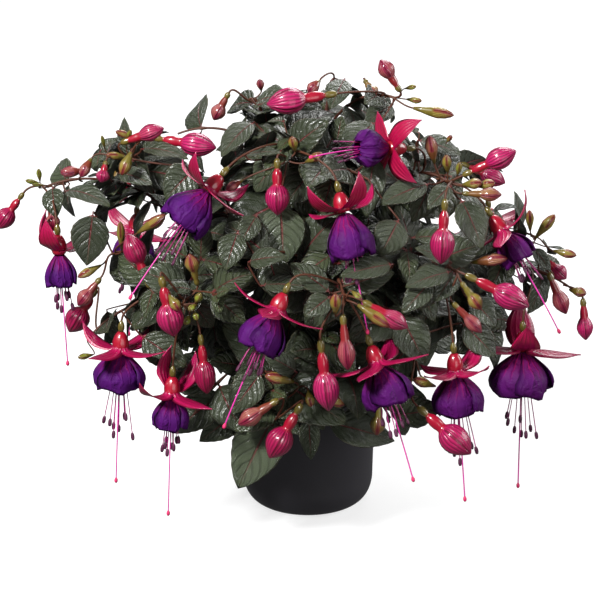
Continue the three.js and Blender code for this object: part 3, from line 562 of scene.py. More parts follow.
class Rods:
    """Paths for round rods, gathered for one mesh. Each point has a girth, and each path a look."""

    def __init__(self):
        self.points, self.edges, self.girth, self.look = [], [], [], []

    def add(self, points, girth, look):
        """look is a random tone, the age and the kind."""
        first = len(self.points)
        self.points += list(points)
        self.edges += [(first + i, first + i + 1) for i in range(len(points) - 1)]
        self.girth += list(np.broadcast_to(girth, len(points)))
        self.look += list(np.broadcast_to(look, (len(points), 3)))

    def swept(self, name, sides, finish):
        paths = bpy.data.meshes.new(name)
        paths.from_pydata((np.array(self.points) * MM).tolist(), self.edges, [])
        write_layer(paths, "girth", "FLOAT", "value", np.array(self.girth) * MM)
        write_layer(paths, "look", "FLOAT_VECTOR", "vector", self.look)
        return sweep.make(name, paths, Sides=sides, Finish=finish.material)


sweep = Recipe("rods_on_paths", Sides="Int", Finish="Material")
sweep.end(sweep.node("GeometryNodeCurveToMesh", inputs={
    "Curve": sweep.node("GeometryNodeMeshToCurve", inputs={0: sweep.ask("Shape")}),
    "Profile Curve": sweep.node("GeometryNodeCurvePrimitiveCircle",
                                inputs={"Resolution": sweep.ask("Sides"), "Radius": 1.0}),
    "Scale": sweep.node("GeometryNodeInputNamedAttribute", {"data_type": "FLOAT"}, {"Name": "girth"}),
    "Fill Caps": True}))

bark = Finish("stem_bark", Specular_IOR_Level=0.3)
bark_streak = bark.noise(260, 4)
bark_old = bark.blend(bark_streak, (0.022, 0.005, 0.006), (0.06, 0.014, 0.015))
bark_young = bark.blend(bark_streak, (0.08, 0.012, 0.011), (0.085, 0.042, 0.012))
bark.set("Base Color", bark.blend(bark.attribute("look")[1], bark_old, bark_young))
bark.set("Roughness", 0.4 + 0.25 * bark_streak)
bark.bump(bark_streak, 0.0003)

hole_low = SOIL["top"] - STEM["depth"] - STEM["hole_deeper"]
for main_shoot, *_ in shoots.values():
    soil_mesh = drilled(soil_mesh, *main_shoot.foot, STEM["hole"], hole_low, STEM["hole_top"], 16)
new_piece("potting_soil", soil_mesh, [earth], "soil", "soil")


def add_shoot(rods, shoot):
    """A shoot's rod, with a small knuckle where each pair of leaves stands."""
    shares = np.linspace(0, 1, 48)
    points = shoot.bend.at(shares)
    ages = 0.35 + 0.5 * shares
    thick = STEM["foot" if shoot.main else "side"]
    girth = between(thick, STEM["tip"], shares)
    for place in shoot.places:
        girth = girth + SHOOT["knuckle"] * np.exp(-((shares - place) / SHOOT["knuckle_long"])**2)
    if shoot.main:
        points = np.vstack([vec(*shoot.foot, SOIL["top"] - STEM["depth"]), points])
        girth = np.append(thick, girth)
        ages = np.append(0, 0.8 * shares**2)
    rods.add(points, girth, np.stack([0 * ages + 0.5, ages, 0 * ages], axis=1))


wood = {name: Rods() for name in STEMS}
for shoot in all_shoots:
    add_shoot(wood[shoot.stem], shoot)


# ---------------------------------------------------------------- leaves
# Oval, pointed leaves in pairs, dark grey-green with a satin face, a crimson rib, sunken side veins with
# painted shade in their valleys and a finely toothed edge. The large ones stand where the model has them: of
# the ways that a leaf could stand, it takes the first whose tip is in the model.
LEAF = {"length": 50, "aspect": 0.68, "thickness": 0.8, "stalk": 0.08, "heel": 0.4, "fold": 0.22,
        "ripple": 0.012, "droop": 50, "spread": 58, "young": 0.5, "young_from": 0.72, "tooth": 0.018,
        "point": 0.2, "round": 0.8}
CROWN_TOP = 337
TIP_NEAR = 0.12


def dice(seed):
    """A seeded row of numbers from 0 to 1."""
    state = seed
    while True:
        state = (state * 1664525 + 1013904223) % 2**32
        yield state / 2**32


def across(axis, guide):
    """Two directions square to an axis. The first lies as near to the guide as it can."""
    first = unit(guide - axis * (guide @ axis))
    return first, np.cross(axis, first)


def leaf_from(base, axis, outward, turn, spread, length, droop, sag, facing):
    """A leaf that leaves the base at an angle to the axis. facing is how far it looks outward and up."""
    guide = np.cross(outward, UP) if abs(outward @ UP) < 0.95 else vec(1, 0, 0)
    first, second = across(axis, guide)
    turn, spread = math.radians(turn), math.radians(spread)
    radial = first * math.cos(turn) + second * math.sin(turn)
    reach = unit(axis * math.cos(spread) + radial * math.sin(spread) - UP * sag)
    face, _ = across(reach, outward * facing[0] + UP * facing[1])
    return {"base": base - reach * LEAF["heel"], "reach": reach, "face": face, "length": length,
            "width": length * LEAF["aspect"], "droop": droop}


def leaf_rib(leaf, along):
    """A point on the leaf's rib, and the way that its upper face looks there."""
    turn = math.radians(leaf["droop"])
    angle = turn * np.asarray(along, float)[..., None]
    forward = leaf["length"] * np.sin(angle) / turn
    down = leaf["length"] * (1 - np.cos(angle)) / turn
    up = leaf["face"] * np.cos(angle) + leaf["reach"] * np.sin(angle)
    return leaf["base"] + leaf["reach"] * forward - leaf["face"] * down, up


def both_faces(columns):
    """The columns of a thin skin, over one face and back under the other, and which face each is on."""
    top = np.array(columns)
    face = np.concatenate([np.ones(len(top)), -np.ones(len(top) - 2)])
    face[[0, len(top) - 1]] = 0
    return np.concatenate([top, top[-2:0:-1]]), face


def places(*values):
    return np.stack(np.broadcast_arrays(*values), axis=2)


def leaf_grid(leaf, alongs, columns, toothed=True, thickness=LEAF["thickness"]):
    """Rings of points over both faces of a leaf, and each point's place: across, along and which face."""
    edge, face = both_faces(columns)
    out = np.abs(edge)
    along = np.array(alongs)[:, None]
    blade = np.clip((along - LEAF["stalk"]) / (1 - LEAF["stalk"]), 0, 1)
    half = leaf["width"] / 2 * np.abs(np.sin(np.pi * blade**0.72)) ** LEAF["round"]
    half = half * (1 - LEAF["point"] * blade**4)
    if toothed:
        tooth = np.where(np.arange(len(alongs))[:, None] % 2, 1, -1) * (out > 0.95)
        half = half * (1 + LEAF["tooth"] * tooth)
    half = np.maximum(half, 0.5)
    wave = leaf["length"] * LEAF["ripple"] * np.sin(14 * along + leaf.get("wave", 0))
    lift = half * LEAF["fold"] * 1.6 * (out - 0.5 * out**3) + wave * out
    fat = thickness / 2 * (1 - 0.75 * out) * face
    rib, up = leaf_rib(leaf, alongs)
    side = np.cross(leaf["reach"], leaf["face"])
    curl = leaf.get("curl", 0) * leaf["length"] * along**2
    grid = rib[:, None] + side * (half * edge + curl)[..., None] + up[:, None] * (lift + fat)[..., None]
    return grid, places(edge, along, face)


class Skins:
    """Closed skins gathered for one mesh. Each point has its place on its skin and its skin's look."""

    def __init__(self):
        self.points, self.faces, self.place, self.look = [], [], [], []
        self.count = 0

    def add(self, grid, place, look, end=None):
        """look is a tone, how young it is and its kind. The tone is random, but on the listed leaves it is
        given, and a tone over 1 there is painted light. end is the point that closes the last ring.
        """
        end = grid[-1].mean(axis=0) if end is None else end
        points, faces = closed_rings(grid, grid[0].mean(axis=0), end)
        self.points.append(points)
        self.faces += [[corner + self.count for corner in face] for face in faces]
        self.place.append(np.vstack([place[:1].mean(axis=1), place.reshape(-1, 3), place[-1:].mean(axis=1)]))
        self.look.append(np.broadcast_to(look, points.shape))
        self.count += len(points)

    def mesh(self, name):
        made = bpy.data.meshes.new(name)
        made.from_pydata((np.vstack(self.points) * MM).tolist(), [], self.faces)
        write_layer(made, "place", "FLOAT_VECTOR", "vector", np.vstack(self.place))
        write_layer(made, "look", "FLOAT_VECTOR", "vector", np.vstack(self.look))
        return made


def tree_of(points):
    tree = KDTree(len(points))
    for i, point in enumerate(points):
        tree.insert(point, i)
    tree.balance()
    return tree


def leaf_in_model(corners, shoot, place, turn, spread, length, droop):
    """The first of a leaf's ways whose tip is a corner of the model, and that tip."""
    tip = shoot.bend.at(1)
    start = shoot.bend.on_bar(place), shoot.bend.along(place), unit(vec(tip[0], tip[1], 0))
    for smaller in (1, 0.84, 0.68):
        for out in (0, 20, -20, 38):
            for round_ in (0, 24, -24, 48, -48, 72, -72):
                way = turn + round_, spread + out, length * smaller, droop
                leaf = leaf_from(*start, *way, 0.12, (0.75, 0.65))
                end = leaf_rib(leaf, 1)[0]
                if corners.find(Vector(end * MM))[2] < TIP_NEAR * MM:
                    return leaf, end
    return None, None


leaves = {name: [] for name in STEMS}
for stem_number, (stem_name, stem_shoots) in enumerate(shoots.items()):
    corners = tree_of([vertex.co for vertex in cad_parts[stem_name].data.vertices])
    for shoot_number, shoot in enumerate(stem_shoots):
        roll = dice(stem_number * 97 + shoot_number * 31 + 5)
        for pair, place in enumerate(shoot.places):
            age = max(0, place - LEAF["young_from"]) / (1 - LEAF["young_from"])
            for half in (0, 180):
                turn = 90 * pair + 45 + half + 30 * (next(roll) - 0.5)
                spread = LEAF["spread"] + 20 * next(roll)
                length = LEAF["length"] * shoot.size * (1 - LEAF["young"] * age) * (0.85 + 0.3 * next(roll))
                droop = LEAF["droop"] * (0.6 + 0.8 * next(roll))
                leaf, tip = leaf_in_model(corners, shoot, place, turn, spread, length, droop)
                if leaf and tip[2] < CROWN_TOP:
                    leaves[stem_name].append({**leaf, "young": age * 0.5})


# ---------------------------------------------------------------- flowers
# Fourteen hanging flowers. Each is a glossy crimson tube that opens into four pointed sepals, a skirt of four
# violet petals, eight threads with dark two-lobed anthers, and a longer style. Each hangs by a thin stalk.
TUBE = {"length": 14, "radius": 5.8, "ribs": 0.02}
SEPAL = {"begin": 78, "steeper": 1.2, "width": 16.5, "thickness": 1.0, "root_up": 1.4, "root_in": 3,
         "rim": 4.4, "cup": 0.12, "flare_from": 0.22, "flare_down": -6.5, "flare_out": 4.85}
SKIRT = {"ring": 3.9, "half_span": 62, "thickness": 0.7, "tuck": 0.14, "scallop": 0.2, "full_at": 0.7,
         "close": 0.1, "narrow_top": 0.9, "top": 1.4, "ruffle": 1.3}
THREADS = {"root_down": 2.1, "root_out": 1.2, "filament": 0.38, "count": 8, "splay": 9, "sag": 0.12,
           "anther": 1.15, "anther_length": 4.6, "style": 0.5, "stigma": 1.35, "stigma_length": 3.2}
STALK = {"radius": 0.8, "leave": 0.35, "rise": 0.1, "hang": 0.4, "longest_hang": 16}
OVARY = {"length": 8, "radius": 2.4, "above": 0.2}
TUBE_SHAPE = [(0, 0.36), (0.05, 0.5), (0.12, 0.62), (0.22, 0.76), (0.35, 0.88), (0.5, 0.97), (0.62, 1),
              (0.75, 0.98), (0.88, 0.9), (1, 0.78)]
OVARY_SHAPE = [(0, 0.3), (0.1, 0.5), (0.3, 0.86), (0.5, 1), (0.75, 0.98), (0.92, 0.82), (1, 0.62)]
# Where a flower hangs and how, the angles at which its sepals end, and its sizes.
Bloom = namedtuple("Bloom", "stem shoot along at hang turn ends sepal petal spread stamen style wide close",
                   defaults=(SEPAL["width"], SKIRT["close"]))
BLOOMS = [Bloom(*row) for row in (
    ("stem_far_left", 0, 0.93, (-181, -66, 222), (0.05, -0.1, -1), 20,
     (175, 190, 205, 120), 34, 24, 11, 34, 74),
    ("stem_crown_front", 0, 0.8, (-70, -110, 283), (-0.64, -0.32, -0.7), 35,
     (100, 140, 120, 170), 38, 32, 17, 46, 84),
    ("stem_left", 1, 0.72, (-135, -108, 163), (-0.06, -0.1, -1), 30,
     (118, 105, 150, 130), 38, 28, 18, 52, 88),
    ("stem_left", 1, 0.88, (-98, -120, 133), (-0.05, -0.1, -1), 40,
     (95, 150, 215, 180), 38, 24, 13, 34, 80),
    ("stem_front", 0, 0.9, (-23, -160, 212), (-0.45, -0.3, -0.85), 10,
     (110, 75, 115, 110), 34, 30, 15, 42, 78),
    ("stem_crown_front", 0, 0.88, (24, -124, 272), (0.22, -0.3, -0.93), 50,
     (175, 170, 110, 150), 36, 33, 16, 40, 76),
    ("stem_right_high", 0, 0.84, (56, -82, 306), (-0.85, -0.4, 0.12), 40,
     (150, 110, 125, 140), 34, 26, 13, 36, 60, 16.5, 0.6),
    ("stem_front", 0, 0.93, (48, -148, 168), (0.33, -0.3, -0.9), 25,
     (86, 84, 110, 150), 38, 30, 17, 40, 76, 19),
    ("stem_right_front", 0, 0.8, (105, -120, 151), (0.1, -0.1, -1), 45,
     (130, 120, 100, 165), 33, 30, 18, 52, 86, 18),
    ("stem_far_right", 0, 0.84, (156, -84, 154), (0, -0.08, -1), 0,
     (88, 172, 130, 178), 42, 33, 21, 56, 94, 22),
    ("stem_right_high", 0, 0.93, (138, -90, 246), (0.55, -0.25, -0.8), 15,
     (160, 80, 120, 110), 36, 24, 13, 34, 74),
    ("stem_back_left", 0, 0.9, (-140, 112, 182), (-0.1, 0.1, -1), 40,
     (110, 130, 150, 120), 36, 30, 17, 48, 84),
    ("stem_back", 0, 0.9, (14, 158, 176), (0.08, 0.15, -1), 20,
     (105, 140, 110, 160), 36, 30, 18, 48, 84),
    ("stem_back_right", 0, 0.92, (148, 104, 190), (0.15, 0.1, -1), 60,
     (150, 110, 130, 115), 36, 30, 17, 48, 84),
)]


class Flower:
    """A flower's own frame: down its tube from the mouth, and outwards at an angle round it."""

    def __init__(self, at, hang):
        self.centre = vec(*at)
        self.axis = unit(vec(*hang))
        self.right, self.front = across(self.axis, vec(1, 0, 0))

    def outward(self, degrees):
        turn = np.radians(degrees)[..., None]
        return self.right * np.cos(turn) + self.front * np.sin(turn)

    def place(self, down, out, degrees):
        down, out, degrees = np.broadcast_arrays(*(np.asarray(v, float) for v in (down, out, degrees)))
        return self.centre + self.axis * down[..., None] + self.outward(degrees) * out[..., None]


def lathe(flower, profile, radius, start, length, sides, ribs=0, rib_depth=0.0):
    """Rings round a flower's axis, from a profile of shares of its length and radius."""
    shares, swells = np.array(profile).T[:, :, None]
    turns = np.linspace(0, 360, sides, endpoint=False)
    rib = 1 + rib_depth * np.cos(np.radians(ribs * turns))
    grid = flower.place(start + length * shares, radius * swells * rib, turns)
    return grid, places(np.cos(np.radians(turns)), shares, np.sin(np.radians(turns)))


def sepal_skin(flower, middle, end, length, width):
    """A sepal's rings. It leaves the tube's side, flares out over the mouth and curls along an arc."""
    begin = math.radians(SEPAL["begin"] + SEPAL["steeper"] * max(0, end - 160))
    change = math.radians(end) - begin
    shares = np.linspace(SEPAL["flare_from"], 1, 13)
    angle = begin + change * shares
    down = -SEPAL["root_up"] + length * (np.sin(angle) - math.sin(begin)) / change
    out = SEPAL["rim"] - SEPAL["root_in"] + length * (math.cos(begin) - np.cos(angle)) / change
    arc_path = np.stack([down, out], axis=1)
    heading = vec(math.cos(angle[0]), math.sin(angle[0]))
    flare_start = vec(SEPAL["flare_down"], SEPAL["flare_out"])
    flare_path = Bend(flare_start, flare_start + vec(3.4, 0.2), arc_path[0] - heading * 3.6, arc_path[0])
    path = np.vstack([flare_path.at(np.linspace(0, 0.86, 6)), arc_path])
    tangent = np.gradient(path, axis=0)
    tangent /= np.linalg.norm(tangent, axis=1, keepdims=True)
    along = np.concatenate([np.linspace(0, 0.2, 6), shares])
    blade = width / 2 * np.sin(np.pi * (0.09 + 0.91 * along))
    half = np.maximum(blade, SEPAL["width"] / 2 * np.interp(along, (0, 0.2, 0.3), (0.5, 0.74, 0)))
    half = np.maximum(half * (1 - 0.22 * along**8), 0.12)[:, None]
    edge, face = both_faces((1, 0.62, 0, -0.62, -1))
    axis, radial = flower.axis, flower.outward(np.array(float(middle)))
    side = np.cross(axis, radial)
    back = -axis * tangent[:, 1:] + radial * tangent[:, :1]
    hug = np.interp(along, (0, 0.2, 0.42), (0.14, 0.09, 0))[:, None]
    cup = np.interp(along, (0, 0.3), (0, SEPAL["cup"]))[:, None]
    centre = flower.centre + axis * path[:, :1] + radial * path[:, 1:]
    offset = half * edge
    dip = -SEPAL["thickness"] / 2 * (1 - 0.7 * np.abs(edge)) * face - cup * half * edge**2
    grid = (centre[:, None] + side * offset[..., None] + back[:, None] * dip[..., None]
            - radial * (hug * offset**2)[..., None])
    return grid, places(edge, along[:, None], face)


def petal_skin(flower, middle, bloom, roll):
    """A petal's rings, from its narrow top to its scalloped and ruffled edge."""
    edge, face = both_faces(np.linspace(-1, 1, 11))
    along = np.linspace(0, 1, 12)[:, None]
    down = along * (1 - SKIRT["scallop"] * edge**2 + 0.03 * np.sin(7 * edge + 6 * roll) * along**3)
    swell = np.sin(np.minimum(1, down / SKIRT["full_at"]) * np.pi / 2)
    half = SKIRT["half_span"] * np.interp(along, (0, 0.5, 0.7), (SKIRT["narrow_top"], SKIRT["narrow_top"], 1))
    wide = bloom.spread * (1 + SKIRT["tuck"] * edge) * (1 - bloom.close * np.maximum(0, down - 0.7) / 0.3)
    ruffle = SKIRT["ruffle"] * np.sin(8 * edge + 9 * roll) * down**2
    out = SKIRT["ring"] + (wide - SKIRT["ring"]) * swell + ruffle
    thick = SKIRT["thickness"] / 2 * face * (1 - 0.5 * np.abs(edge))
    deep = SKIRT["top"] + down * (bloom.petal - SKIRT["top"])
    grid = flower.place(deep - thick * (1 - swell), out + thick * swell, middle + half * edge)
    return grid, places(edge, along, face)


def sagging(start, way, length, shares):
    """Points along a thread that droops a little."""
    reach = length * np.asarray(shares, float)[..., None]
    return start + way * reach - UP * THREADS["sag"] * reach**2 / length


def rod_skin(points, girths, sides=8, flatten=1.0, twin=0.0):
    """Rings round a path of points. twin pinches the rings into two lobes."""
    heading = np.gradient(points, axis=0)
    heading /= np.linalg.norm(heading, axis=1, keepdims=True)
    guide = UP if abs(heading[0] @ UP) < 0.9 else vec(0, 1, 0)
    turns = np.linspace(0, 2 * np.pi, sides, endpoint=False)[:, None]
    rings = []
    for point, way, girth in zip(points, heading, girths):
        first, second = across(way, guide)
        round_ = first * np.cos(turns) * flatten + second * np.sin(turns)
        rings.append(point + round_ * (1 - twin * np.cos(2 * turns)) * girth)
    return np.array(rings), places(np.cos(4 * turns).T, np.linspace(0, 1, len(points))[:, None], 1.0)


def hanging_stalk(bend, along, start, axis):
    """The path of a stalk that leaves a shoot and hangs down to what it carries."""
    root = bend.on_bar(along)
    gap = np.linalg.norm(start - root)
    leave = root + bend.along(along) * gap * STALK["leave"] + UP * gap * STALK["rise"]
    return Bend(root, leave, start - axis * min(gap * STALK["hang"], STALK["longest_hang"]), start)


def sepal_crimson():
    """Glossy crimson with fine veins and a paler tip. The tube is darker and shinier than the sepals."""
    made = Finish("sepal_crimson", Roughness=0.34, Coat_Roughness=0.12, Specular_IOR_Level=0.4)
    edge, along, face = made.attribute("place")
    sepal = made.attribute("look")[2]
    cloud = made.noise(150, 3)
    vein = (edge * 17).wave() ** 3
    outer = made.blend(cloud, (0.24, 0.002, 0.036), (0.38, 0.005, 0.08))
    inner = made.blend(cloud, (0.24, 0.001, 0.024), (0.38, 0.003, 0.055))
    body = made.coats(
        made.blend(face.step(-0.2, 0.2), outer, inner),
        (along.step(0.45, 1.02) * 0.3, (0.5, 0.012, 0.13)),
        (vein * 0.35, (0.24, 0.001, 0.02)))
    tube = made.blend(cloud, (0.24, 0.001, 0.01), (0.36, 0.003, 0.024))
    made.set("Base Color", made.blend(sepal, tube, body))
    made.set("Coat Weight", 0.7 - sepal * 0.55)
    made.bump(vein * sepal + cloud * 0.5, 0.0006, 0.6)
    return made


def petal_violet():
    """Velvety violet, with magenta ribs at the root, soft folds and a dark edge."""
    made = Finish("petal_violet", Roughness=0.6, Specular_IOR_Level=0.1)
    edge, along, _ = made.attribute("place")
    tone = made.attribute("look")[0]
    cloud = made.noise(120, 4)
    rib = (edge * 17 + (cloud - 0.5) * 6).wave() ** 10
    fold = (edge * 6 + along * 2 + cloud * 7).wave() ** 2
    root = 1 - along.step(0.05, 0.6)
    made.set("Base Color", made.coats(
        made.blend(cloud, (0.024, 0.002, 0.062), (0.085, 0.008, 0.17)),
        (tone * 0.6, (0.075, 0.003, 0.06)),
        (root * (0.25 + rib * 0.75), (0.3, 0.003, 0.06)),
        (rib * 0.12, (0.1, 0.004, 0.14)),
        (abs(edge).step(0.55, 1) * 0.6, (0.014, 0.001, 0.028))))
    made.bump(rib * 0.25 + cloud * 0.5 + fold, 0.0014, 0.9)
    return made


sepal_finish = sepal_crimson()
petal_finish = petal_violet()
thread_finish = Finish("thread_magenta", Roughness=0.35)
thread_finish.set("Base Color", thread_finish.blend(
    thread_finish.attribute("look")[2], (0.3, 0.006, 0.13), (0.6, 0.02, 0.3)))
anther_finish = Finish("anther_maroon", Roughness=0.65)
anther_grain = anther_finish.noise(900, 2)
anther_finish.set("Base Color", anther_finish.coats(
    anther_finish.blend(anther_grain, (0.03, 0.002, 0.018), (0.1, 0.006, 0.05)),
    (anther_finish.attribute("look")[2], (0.62, 0.02, 0.12))))
anther_finish.bump(anther_grain, 0.0003)

bud_skins = {name: Skins() for name in STEMS}
for number, bloom in enumerate(BLOOMS, 1):
    flower = Flower(bloom.at, bloom.hang)
    roll = dice(number * 7919)
    tone = next(roll)
    calyx, corolla, threads, anthers = Skins(), Skins(), Rods(), Skins()

    calyx.add(
        *lathe(flower, TUBE_SHAPE, TUBE["radius"], -TUBE["length"], TUBE["length"], 32, 8, TUBE["ribs"]),
        (tone, 0, 0))
    for i, end in enumerate(bloom.ends):
        calyx.add(*sepal_skin(flower, bloom.turn + 90 * i, end, bloom.sepal, bloom.wide), (tone, 0, 1))
    for i in range(4):
        corolla.add(*petal_skin(flower, bloom.turn + 45 + 90 * i, bloom, next(roll)), (tone, 0, 0))

    hub = flower.centre + flower.axis * THREADS["root_down"]
    for i in range(THREADS["count"]):
        length = bloom.stamen * (0.78 + 0.3 * next(roll))
        outward = flower.outward(np.array(360 / THREADS["count"] * i + 20 * next(roll)))
        splay = math.radians(THREADS["splay"] * (0.6 + 0.8 * next(roll)))
        way = flower.axis * math.cos(splay) + outward * math.sin(splay)
        thread = hub + outward * THREADS["root_out"], way, length
        threads.add(sagging(*thread, np.linspace(0, 1, 9)), THREADS["filament"], (tone, 0, 0))
        half_anther = THREADS["anther_length"] / 2 / length
        lobes = sagging(*thread, np.linspace(1 - half_anther, 1 + half_anther, 5))
        girths = THREADS["anther"] * vec(0.6, 0.95, 1, 0.95, 0.6)
        anthers.add(*rod_skin(lobes, girths, 8, 0.75, 0.22), (tone, 0, 0))
    style = hub, flower.axis, bloom.style
    threads.add(sagging(*style, np.linspace(0, 1, 13)), THREADS["style"], (tone, 0, 1))
    stigma = sagging(*style, np.linspace(1 - THREADS["stigma_length"] / bloom.style, 1, 6))
    anthers.add(*rod_skin(stigma, THREADS["stigma"] * vec(0.42, 0.72, 0.95, 1, 0.88, 0.5), 10), (tone, 0, 1))

    node = f"bloom_{number:02}_"
    new_piece(f"calyx_{number:02}", calyx.mesh("calyx"), [sepal_finish], "sepals", node + "calyx")
    new_piece(f"corolla_{number:02}", corolla.mesh("corolla"), [petal_finish], "petals", node + "corolla")
    thread_mesh = threads.swept("threads", 6, thread_finish)
    new_piece(f"threads_{number:02}", thread_mesh, [], "stamens", node + "stamens")
    new_piece(f"anthers_{number:02}", anthers.mesh("anthers"), [anther_finish], "stamens", node + "stamens")

    ovary_top = TUBE["length"] + OVARY["length"] + OVARY["above"]
    bend = shoots[bloom.stem][bloom.shoot].bend
    stalk = hanging_stalk(bend, bloom.along, flower.centre - flower.axis * ovary_top, flower.axis)
    wood[bloom.stem].add(stalk.at(np.linspace(0, 1, 14)), STALK["radius"], (tone, 0.8, 1))
    bud_skins[bloom.stem].add(
        *lathe(flower, OVARY_SHAPE, OVARY["radius"], -ovary_top, OVARY["length"], 16), (tone, 0.2, 1))


# ---------------------------------------------------------------- buds
# Fat crimson buds, each a green ovary, a narrow neck and four joined sepals with dark seams between them.
# They hang or stand on thin stalks from the shoots' ends. The younger ones are dusky, the smallest green.
FAT_BUD = [(0, 0.12), (0.02, 0.2), (0.06, 0.27), (0.12, 0.28), (0.16, 0.21), (0.18, 0.18), (0.2, 0.24),
           (0.24, 0.35), (0.31, 0.42), (0.38, 0.41), (0.43, 0.36), (0.46, 0.38), (0.5, 0.6), (0.55, 0.82),
           (0.62, 0.96), (0.69, 1), (0.77, 0.94), (0.85, 0.75), (0.92, 0.48), (0.97, 0.22), (0.995, 0.08)]
MIDDLE_BUD = [(0, 0.18), (0.05, 0.34), (0.12, 0.4), (0.18, 0.32), (0.21, 0.34), (0.3, 0.46), (0.4, 0.5),
              (0.46, 0.5), (0.54, 0.76), (0.64, 0.96), (0.72, 1), (0.82, 0.84), (0.91, 0.52), (0.97, 0.24),
              (0.995, 0.1)]
SMALL_BUD = [(0, 0.25), (0.2, 0.5), (0.4, 0.82), (0.6, 1), (0.8, 0.8), (0.93, 0.45), (0.99, 0.12)]
FAT, MIDDLE = 14, 10
Bud = namedtuple("Bud", "tip point long girth young", defaults=(None,))
# The buds of the model: the shoot that carries each, how far along it, and the bud.
BUDS = {
    "stem_far_left": [
        (0, 0.97, (-232, -20, 226), (-0.6, -0.1, -0.8), 34, 14),
        (1, 0.9, (-66, -60, 300), (0.95, -0.2, -0.1), 48, 18),
        (1, 0.94, (-104, -50, 312), (0.9, -0.1, 0.35), 34, 13),
    ],
    "stem_left": [
        (1, 0.9, (-128, -98, 248), (-0.4, 0.2, 1), 42, 16),
        (1, 0.94, (-94, -140, 186), (0.2, -0.1, -1), 44, 19),
        (0, 0.95, (-178, -50, 155), (-0.5, 0, -0.8), 40, 18),
        (1, 0.86, (-72, -134, 140), (0.1, -0.1, -1), 44, 15),
    ],
    "stem_front_low": [
        (0, 0.96, (-28, -138, 92), (-0.5, -0.15, -0.85), 46, 19),
        (0, 0.97, (-50, -138, 118), (-0.8, -0.1, -0.5), 34, 13, 0.55),
    ],
    "stem_front": [
        (0, 0.95, (14, -160, 138), (0.12, -0.1, -1), 52, 18),
        (0, 0.97, (27, -168, 172), (0.1, -0.1, -1), 40, 12),
        (0, 0.96, (68, -160, 200), (0.85, -0.1, -0.5), 36, 13),
    ],
    "stem_crown_front": [
        (0, 0.97, (-22, -106, 264), (0, -0.2, -1), 40, 17),
    ],
    "stem_crown_right": [
        (1, 0.85, (-30, -52, 330), (-0.95, -0.2, -0.1), 52, 20),
        (1, 0.97, (52, -24, 356), (-0.5, 0, 0.8), 28, 12),
        (1, 0.9, (106, -30, 316), (0.95, -0.1, -0.15), 30, 9),
    ],
    "stem_crown_left": [
        (0, 0.96, (-70, -6, 306), (-0.5, 0, -0.9), 24, 11),
    ],
    "stem_right_high": [
        (0, 0.97, (146, -88, 306), (0.85, -0.1, 0.45), 42, 16),
        (0, 0.96, (92, -130, 236), (-0.05, -0.15, -1), 46, 17),
        (0, 0.98, (136, -96, 276), (0.95, -0.1, 0), 28, 10),
    ],
    "stem_right_front": [
        (0, 0.96, (154, -134, 206), (0.85, -0.15, -0.4), 50, 18),
        (1, 0.9, (114, -162, 106), (0.75, -0.3, -0.6), 50, 20),
    ],
    "stem_far_right": [
        (0, 0.97, (205, -64, 154), (0.1, -0.1, -1), 32, 12, 0.12),
        (0, 0.93, (188, -76, 179), (0.4, -0.1, -0.9), 34, 12),
        (1, 0.95, (178, -66, 252), (0.6, 0, 0.8), 22, 8),
    ],
    "stem_back_left": [
        (0, 0.95, (-158, 90, 212), (-0.6, 0.2, -0.7), 40, 15),
        (1, 0.94, (-112, 132, 108), (-0.2, 0.2, -1), 42, 17),
    ],
    "stem_back": [
        (0, 0.96, (-24, 168, 180), (-0.3, 0.2, -0.9), 44, 17),
    ],
    "stem_back_right": [
        (0, 0.96, (156, 78, 232), (0.8, 0.1, -0.4), 40, 15),
        (1, 0.94, (112, 132, 112), (0.3, 0.3, -0.9), 42, 17),
    ],
}
